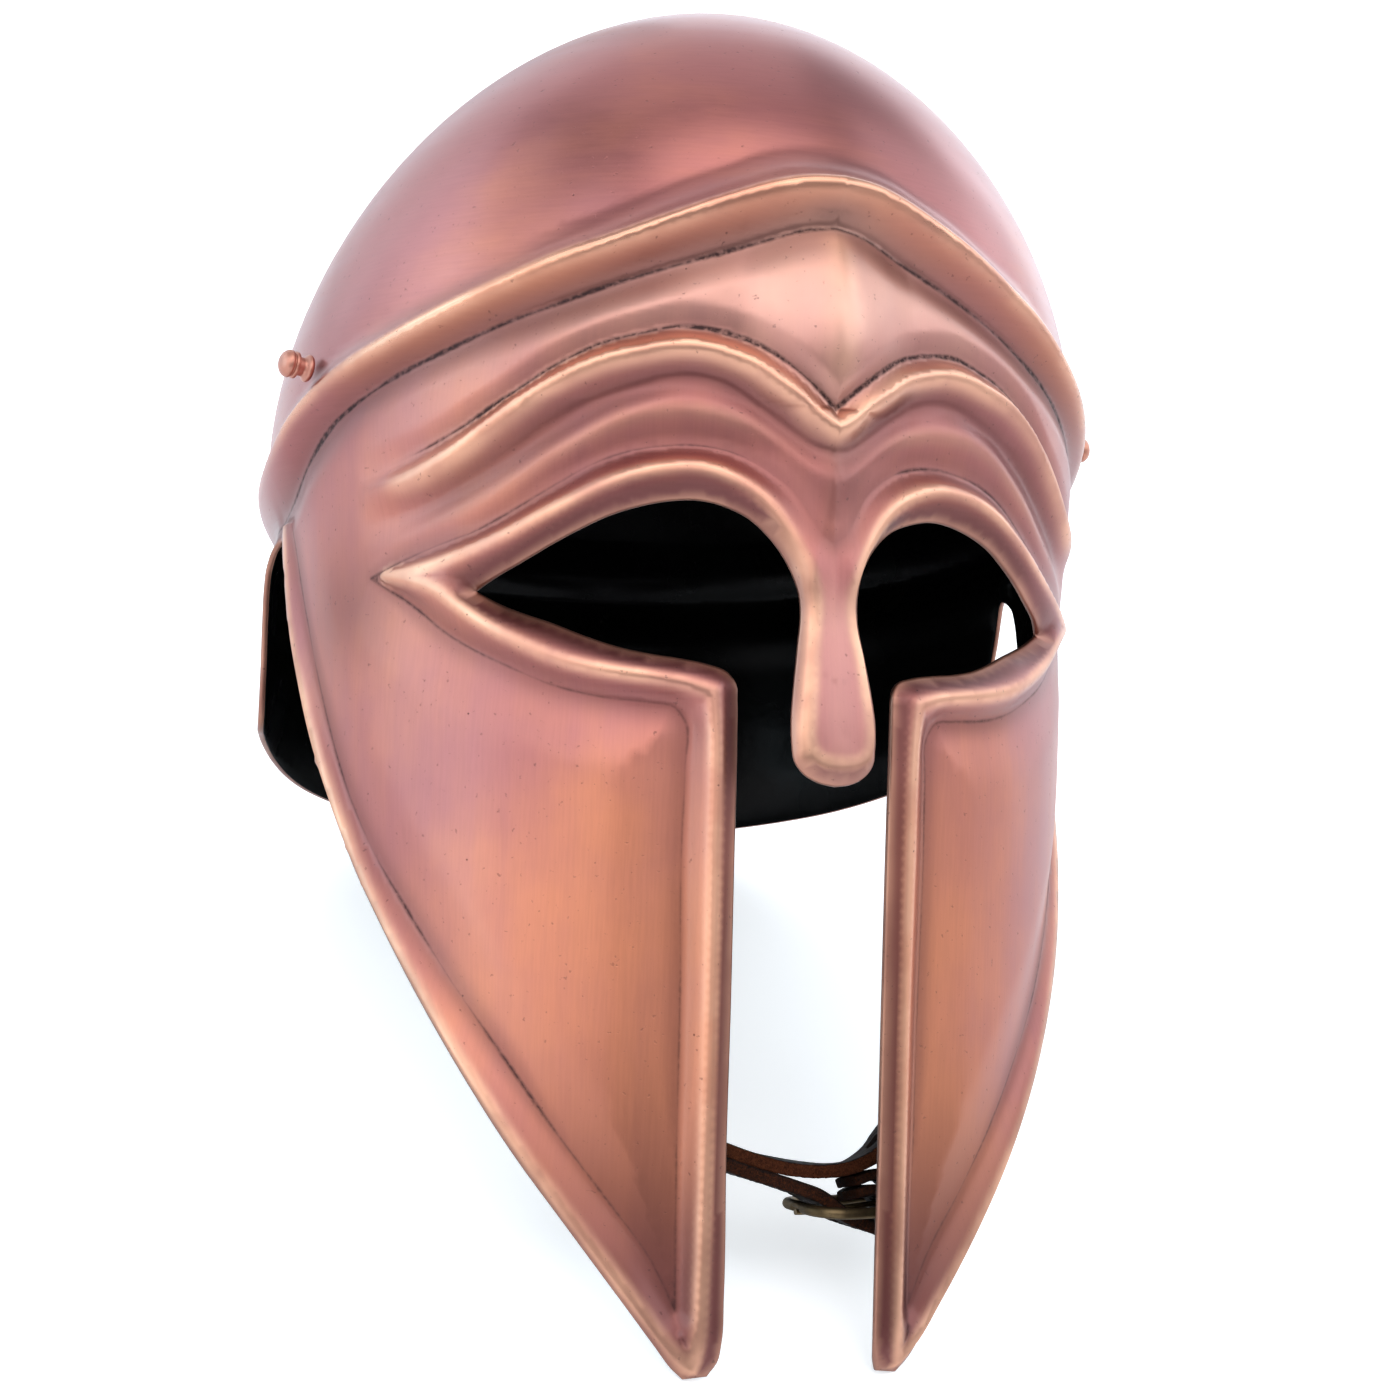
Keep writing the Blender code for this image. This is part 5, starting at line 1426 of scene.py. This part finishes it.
def leather_mesh(name, centres, normals, width, thick, seed, raw_and_shade):
    """A strap with its raw marks, which are full on both ends before they are scaled. A scale under
    1 is painted shade, which darkens the raw edges.
    """
    rings, raw_mark = band_rings(centres, normals, width, thick, seed)
    mesh = tube(name, round_ends(rings))
    sides = rings.shape[1]
    raw_mark[:sides] = raw_mark[-sides:] = 1.0
    store(mesh, "raw", raw_mark * raw_and_shade)
    return mesh


# %% [markdown]
# ## Punched holes
#
# A punch goes straight through, so each hole is a Boolean cut. The cutters exist only while they
# are needed: the modifier is evaluated, the result replaces the mesh, and the cutter is deleted,
# which leaves no helper objects in the finished scene.

# %% The punch


def punched(mesh, cutters):
    """The mesh with each cutter taken out of it."""
    blank, tools = shown("blank", mesh), [shown("punch", cutter) for cutter in cutters]
    for tool in tools:
        cut = blank.modifiers.new("cut", "BOOLEAN")
        cut.operation, cut.solver, cut.object = "DIFFERENCE", "EXACT", tool
    bpy.context.view_layer.update()
    cut_blank = blank.evaluated_get(bpy.context.evaluated_depsgraph_get())
    made = bpy.data.meshes.new_from_object(cut_blank)
    made.name = mesh.name
    for helper in [blank] + tools:
        old = helper.data
        bpy.data.objects.remove(helper)
        bpy.data.meshes.remove(old)
    return made


def block(low, high):
    """A box between two corners, as a cutter."""
    (west, front, floor), (east, back, roof) = low, high
    ring = [(west, front), (east, front), (east, back), (west, back)]
    return tube("block", np.array([[(x, y, z) for x, y in ring] for z in (floor, roof)]))


def rod(foot, axis, start, end, radius):
    """A plain round cutter along an axis."""
    return lathe_mesh("rod", [(start, radius), (end, radius)], foot, axis, 32, 9.0)


SLOT_HALF = 1.4
LEFT_HOLES = ((27.5, -47.6, 50), (15.0, -52.6, 3), (2.5, -51.3, -10))
prong_slot = block((12.6, FRAME_Y - SLOT_HALF, -67.5), (22.4, FRAME_Y + SLOT_HALF, -55.0))
cutters = {"left": [], "right": [prong_slot]}
for x, z, lean in LEFT_HOLES:
    turn = math.radians(lean)
    way = (-math.sin(turn), 0, math.cos(turn))
    cutters["left"].append(rod((x, FRAME_Y, z), way, -5.0, 5.0, 2.3))
print("holes for the prong:", len(cutters["left"]))

# %% [markdown]
# The left strap comes down from the wearer's left cheekpiece with its punched holes and runs on
# to a free end. The right strap passes under it, through the buckle, and its end shows below.

# %% Straps with their anchors
ANCHOR = [
    (0.0, 0.05), (0.0, 4.3), (0.12, 4.5), (0.9, 4.5), (1.0, 4.38), (1.0, 1.6), (4.6, 1.6),
    (4.6, 3.6), (4.72, 3.8), (5.1, 3.72), (5.5, 3.4), (5.85, 2.7), (6.1, 1.7), (6.2, 0.05),
]


def with_wear(mesh, amount):
    """Gives a small casting an even wear mark, which the rub group then breaks up."""
    store(mesh, "worn", np.full(len(mesh.vertices), amount))
    return mesh


# The right strap runs under the left one: its raw mark is halved as painted shade, so its edges come
# out darker.
for sign, side, seed, raw_and_shade in ((-1, "right", 11, 0.5), (1, "left", 29, 1.0)):
    name, route, size = f"chin_strap_{side}", routes[side], (STRAP_WIDTH, LEATHER_THICK)
    mesh = leather_mesh(name, route[:, :3], route[:, 3:], *size, seed, raw_and_shade)
    place, outside = wall_pin(sign, SHEET + FOOT_GAP)
    mesh = punched(mesh, [rod(place, -outside, 0.8, 6.0, 2.0)] + cutters[side])
    piece(name, mesh, (LEATHER,), "leather", f"strap_{side}")
    anchor = with_wear(lathe_mesh(f"anchor_{side}", ANCHOR, place, -outside), 0.6)
    piece(f"anchor_{side}", anchor, (BRASS,), "brass", f"strap_anchor_{side}")
    print("strap", side, "has", len(mesh.polygons), "faces")

# %% [markdown]
# ## The buckle
#
# A cast frame with rounded corners, a little bowed so that the strap beds in it. The prong turns
# on the far bar and its tip lies in a shallow notch of the near bar. Both are round sections
# carried along a line, with more rings than the solid has, so that highlights run along them.

# %% Frame and prong
FREE_X, HINGE_X, LOW_X = 9.4, 32.0, 16.0
FRAME_HALF, FRAME_Z, BOW = 11.0, -60.5, 1.2
HINGE_Z = FRAME_Z + BOW
HINGE_CORNER, FREE_CORNER = 4.0, 6.0
BAR, PRONG, PRONG_WIDE, PRONG_GAP = 1.2, 0.6, 0.9, 0.3
NOTCH_DEPTH = 0.5
NOTCH = ((3.2, 0), (2.3, 0.1), (1.7, 0.8), (1.3, 1), (0, 1))
NOTCH += ((-1.3, 1), (-1.7, 0.8), (-2.3, 0.1), (-3.2, 0))


def frame_line():
    """The centre line of the buckle frame, and how deep the prong's notch is at each station."""
    hinge, free = HINGE_X - HINGE_CORNER, FREE_X + FREE_CORNER
    stations = []
    for x, side, start, bend in (
        (hinge, 1, 0, HINGE_CORNER), (free, 1, 90, FREE_CORNER),
        (free, -1, 180, FREE_CORNER), (hinge, -1, 270, HINGE_CORNER),
    ):
        y = FRAME_Y + side * (FRAME_HALF - bend)
        for turn in np.radians(np.linspace(start, start + 90, 13)):
            stations.append((x + bend * math.cos(turn), y + bend * math.sin(turn), 0))
        if start in (0, 180):
            for part in (0.2, 0.4, 0.6, 0.8):
                along = part if start == 0 else 1 - part
                stations.append((hinge + (free - hinge) * along, y + side * bend, 0))
        if start == 90:
            stations += [(FREE_X, FRAME_Y + gap, notch) for gap, notch in NOTCH]
    return np.array(stations)


def bar_mesh(name, centres, across, tall, closed=False, sides=20):
    """A bar of oval section carried along a line."""
    centres = np.asarray(centres, float)
    tall = np.broadcast_to(tall, len(centres))
    if closed:
        up = np.array([0.0, 0.0, 1.0])
        ahead = np.roll(centres, -1, axis=0) - np.roll(centres, 1, axis=0)
    else:
        up = np.array([0.0, 1.0, 0.0])
        ahead = np.gradient(centres, axis=0)
    side = np.cross(up, ahead)
    side /= np.linalg.norm(side, axis=1)[:, None]
    turn = 2 * math.pi * (np.arange(sides) + 0.5) / sides
    rings = centres[:, None] + np.cos(turn)[None, :, None] * side[:, None] * across
    rings = rings + np.sin(turn)[None, :, None] * tall[:, None, None] * up
    return tube(name, rings, closed)


def bowed_z(x):
    """The height of the frame's middle, which is bowed about its low place."""
    return FRAME_Z + BOW * ((x - LOW_X) / (HINGE_X - LOW_X)) ** 2


frame_path = frame_line()
notch = frame_path[:, 2] * NOTCH_DEPTH
frame_path[:, 2] = bowed_z(frame_path[:, 0]) + notch
frame_mesh = bar_mesh("buckle_ring", frame_path, BAR, BAR - notch, True)
piece("buckle_ring", with_wear(frame_mesh, 0.4), (BRASS,), "brass", "buckle_frame")


def round_hinge(radius, turns):
    """Places round the frame's far bar, seen from the side."""
    return [
        (HINGE_X + radius * math.cos(turn), HINGE_Z + radius * math.sin(turn))
        for turn in np.radians(turns)
    ]


tip_z = bowed_z(FREE_X) + 2 * NOTCH_DEPTH - BAR - PRONG_GAP - PRONG
prong = round_hinge(BAR + PRONG_GAP + PRONG, np.arange(-130, 161, 10))
prong += [(28.0, -59.6), (22.0, -60.3), (16.0, -60.9), (FREE_X + 1.0, tip_z), (FREE_X - 0.9, tip_z)]
prong = [(x, FRAME_Y, z) for x, z in prong]
prong_mesh = bar_mesh("buckle_tongue", prong, PRONG, PRONG_WIDE)
piece("buckle_tongue", with_wear(prong_mesh, 0.8), (BRASS,), "brass", "buckle_prong")
print("buckle ring", len(frame_mesh.polygons), "faces, tongue", len(prong_mesh.polygons), "faces")

# %% [markdown]
# A narrow fold of leather goes round the far bar and holds the buckle to the left strap. It is
# slotted so that the prong can stand between its two sides.

# %% The fold that holds the buckle
LOOP, LOOP_WIDTH, LOOP_GAP = 2.4, 14.0, 0.35
fold = [(20.0, -55.3, -10), (24.5, -53.9, -10), (28.3, -53.9, -5)]
fold += [(x, z, 0) for x, z in round_hinge(BAR + LOOP_GAP + LOOP / 2, np.arange(75, -141, -18))]
fold += [(28.3, -58.7, 0), (25.0, -56.9, -6), (20.5, -58.0, -10)]
fold_centres = np.array([(x, FRAME_Y, z) for x, z, _ in fold])
fold_faces = []
for step, (_, _, tip) in zip(np.gradient(fold_centres, axis=0), fold):
    along = step / np.linalg.norm(step)
    lean = math.tan(math.radians(tip)) * math.copysign(1.0, along[0])
    fold_faces.append((-along[2], -lean, along[0]))
fold_faces = np.array(fold_faces)
fold_mesh = leather_mesh("buckle_fold", fold_centres, fold_faces, LOOP_WIDTH, LOOP, 47, 0.5)
slot = block((26.2, FRAME_Y - SLOT_HALF, -66.0), (37.0, FRAME_Y + SLOT_HALF, -54.0))
fold_mesh = punched(fold_mesh, [slot])
piece("buckle_fold", fold_mesh, (LEATHER,), "leather", "buckle_loop")
print("fold has", len(fold_mesh.polygons), "faces")

# %% [markdown]
# ## Camera
#
# The camera stands where the photographer's did. Its place and aim were worked out from the
# helmet's own symmetry, in worn axes, and the same resting matrix carries it along. A square
# picture through a 64.3 mm lens on a 36 mm sensor has the photograph's narrow field of view.

# %% The photographer's camera
CAMERA_PLACE = Vector((-203.914, -560.0, 0.0)) * MM
CAMERA_RIGHT = Vector((0.9334, -0.3573, 0.0320)).normalized()
CAMERA_AHEAD = Vector((0.3536, 0.9314, 0.0867)).normalized()
camera_up = CAMERA_RIGHT.cross(CAMERA_AHEAD).normalized()
camera_side = CAMERA_AHEAD.cross(camera_up)
turned = Matrix((camera_side, camera_up, -CAMERA_AHEAD)).transposed().to_4x4()
lens = bpy.data.cameras.new("photographer")
lens.lens, lens.sensor_width, lens.clip_start = 64.286, 36.0, 0.01
camera = shown("photographer", lens)
camera.matrix_world = REST @ Matrix.Translation(CAMERA_PLACE) @ turned
bpy.context.scene.camera = camera
print("camera at", [round(value, 3) for value in camera.matrix_world.translation])

# %% [markdown]
# ## Floor and light
#
# Polished metal shows its surroundings more than itself. A pale sweep of paper behind and below
# gives the white fade along the outline, and large soft lamps at the left, right and top give
# long gentle gradients. Low in front it stays darker, so that the middle of the dome reads brown.

# %% The paper sweep
SWEEP_RADIUS, SWEEP_BEND, SWEEP_HEIGHT = 1.5, 0.5, 1.6
SWEEP_PARTS, SWEEP_SPREAD = 48, 1.6
PAPER_GLOW = 0.5


def sweep_mesh():
    """A floor that turns up into a wall behind the helmet, as seen from the camera."""
    profile = [(0.0, 0.0), (0.35, 0.0), (0.7, 0.0), (1.1, 0.0), (SWEEP_RADIUS, 0.0)]
    for turn in np.radians(np.arange(15, 91, 15)):
        out, rise = SWEEP_BEND * math.sin(turn), SWEEP_BEND * (1 - math.cos(turn))
        profile.append((SWEEP_RADIUS + out, rise))
    profile.append((SWEEP_RADIUS + SWEEP_BEND, SWEEP_HEIGHT))
    away = math.atan2(CAMERA_AHEAD.y, CAMERA_AHEAD.x)
    points, faces = [], []
    for k in range(SWEEP_PARTS):
        turn = away + 2 * math.pi * k / SWEEP_PARTS
        climbs = float(ease((0.5 + 0.5 * math.cos(turn - away)) * SWEEP_SPREAD))
        for reach, height in profile:
            points.append((reach * math.cos(turn), reach * math.sin(turn), height * climbs))
    rows = len(profile)
    for k in range(SWEEP_PARTS):
        here, there = k * rows, (k + 1) % SWEEP_PARTS * rows
        for j in range(rows - 1):
            faces.append((here + j, here + j + 1, there + j + 1, there + j))
    mesh = bpy.data.meshes.new("paper_sweep")
    mesh.from_pydata(points, [], faces)
    return mended(mesh, weld=1e-6, turn=True)


paper, tree, shader = material("white_paper")
fibres = node(tree, "ShaderNodeTexNoise", {"Scale": 60.0, "Detail": 4.0}).outputs["Fac"]
seen = node(tree, "ShaderNodeLightPath").outputs["Is Camera Ray"]
looks = {
    "Base Color": blend_colour(tree, fibres, (0.84, 0.84, 0.84, 1), (0.88, 0.88, 0.88, 1)),
    "Roughness": 0.9,
    "Emission Color": (1.0, 1.0, 1.0, 1.0),
    "Emission Strength": times(tree, seen, PAPER_GLOW),
}
wire(tree, shader, looks)
sweep = shown("paper_sweep", sweep_mesh())
sweep.data.materials.append(paper)
print("floor and wall:", len(sweep.data.polygons), "faces")

# %% Lamps and surroundings
HEAD_MIDDLE = Vector((0.0, 0.0, 0.12))
WHITE, COOL, COLD = (1.0, 0.98, 0.97), (0.80, 0.93, 1.0), (0.50, 0.84, 1.0)
LAMP_WIDE, LAMP_TALL, LAMP_REACH, LAMP_POWER = 0.95, 0.85, 1.3, 1.53
AIR_COLOUR = (0.88, 0.90, 1.0, 1.0)
AIR, AIR_IN_GLOSS, BACKDROP = 0.7, 0.5, 1.2
# Each lamp: degrees round from the front and up, strength, tint.
LAMPS = [
    (-160, 15, 0.6, COOL), (-125, 15, 1.1, COLD), (-90, 10, 2.4, COLD), (-60, 14, 1.35, WHITE),
    (-112, 31, 1.2, COOL), (-65, 45, 2.1, COOL), (-25, 50, 1.7, WHITE), (15, 50, 0.7, COOL),
    (55, 45, 2.5, COOL), (95, 40, 1.5, COOL), (85, 12, 0.2, WHITE), (115, 10, 1.4, COOL),
    (150, 12, 1.35, COOL), (0, 80, 2.3, WHITE), (180, 50, 0.8, WHITE),
]
for number, (way, rise, glow, tint) in enumerate(LAMPS):
    way, rise = math.radians(way), math.radians(rise)
    out = math.cos(rise)
    aim = Vector((math.sin(way) * out, -math.cos(way) * out, math.sin(rise)))
    data = bpy.data.lights.new(f"lamp_{number}", "AREA")
    data.shape, data.size, data.size_y = "RECTANGLE", LAMP_WIDE, LAMP_TALL
    data.energy, data.color = glow * LAMP_POWER, tint
    lamp = shown(f"lamp_{number}", data)
    lamp.location = HEAD_MIDDLE + aim * LAMP_REACH
    lamp.rotation_euler = (HEAD_MIDDLE - lamp.location).to_track_quat("-Z", "Y").to_euler()
print("lamps:", len(LAMPS))
world = bpy.data.worlds.new("studio")
world.use_nodes = True
tree = world.node_tree
ray = node(tree, "ShaderNodeLightPath").outputs
lit = remap(tree, ray["Is Glossy Ray"], 0.0, 1.0, AIR, AIR_IN_GLOSS)
glow = larger(tree, lit, times(tree, ray["Is Camera Ray"], BACKDROP))
wire(tree, tree.nodes["Background"], {"Color": AIR_COLOUR, "Strength": glow})
bpy.context.scene.world = world
bpy.context.scene.view_settings.view_transform = "Standard"
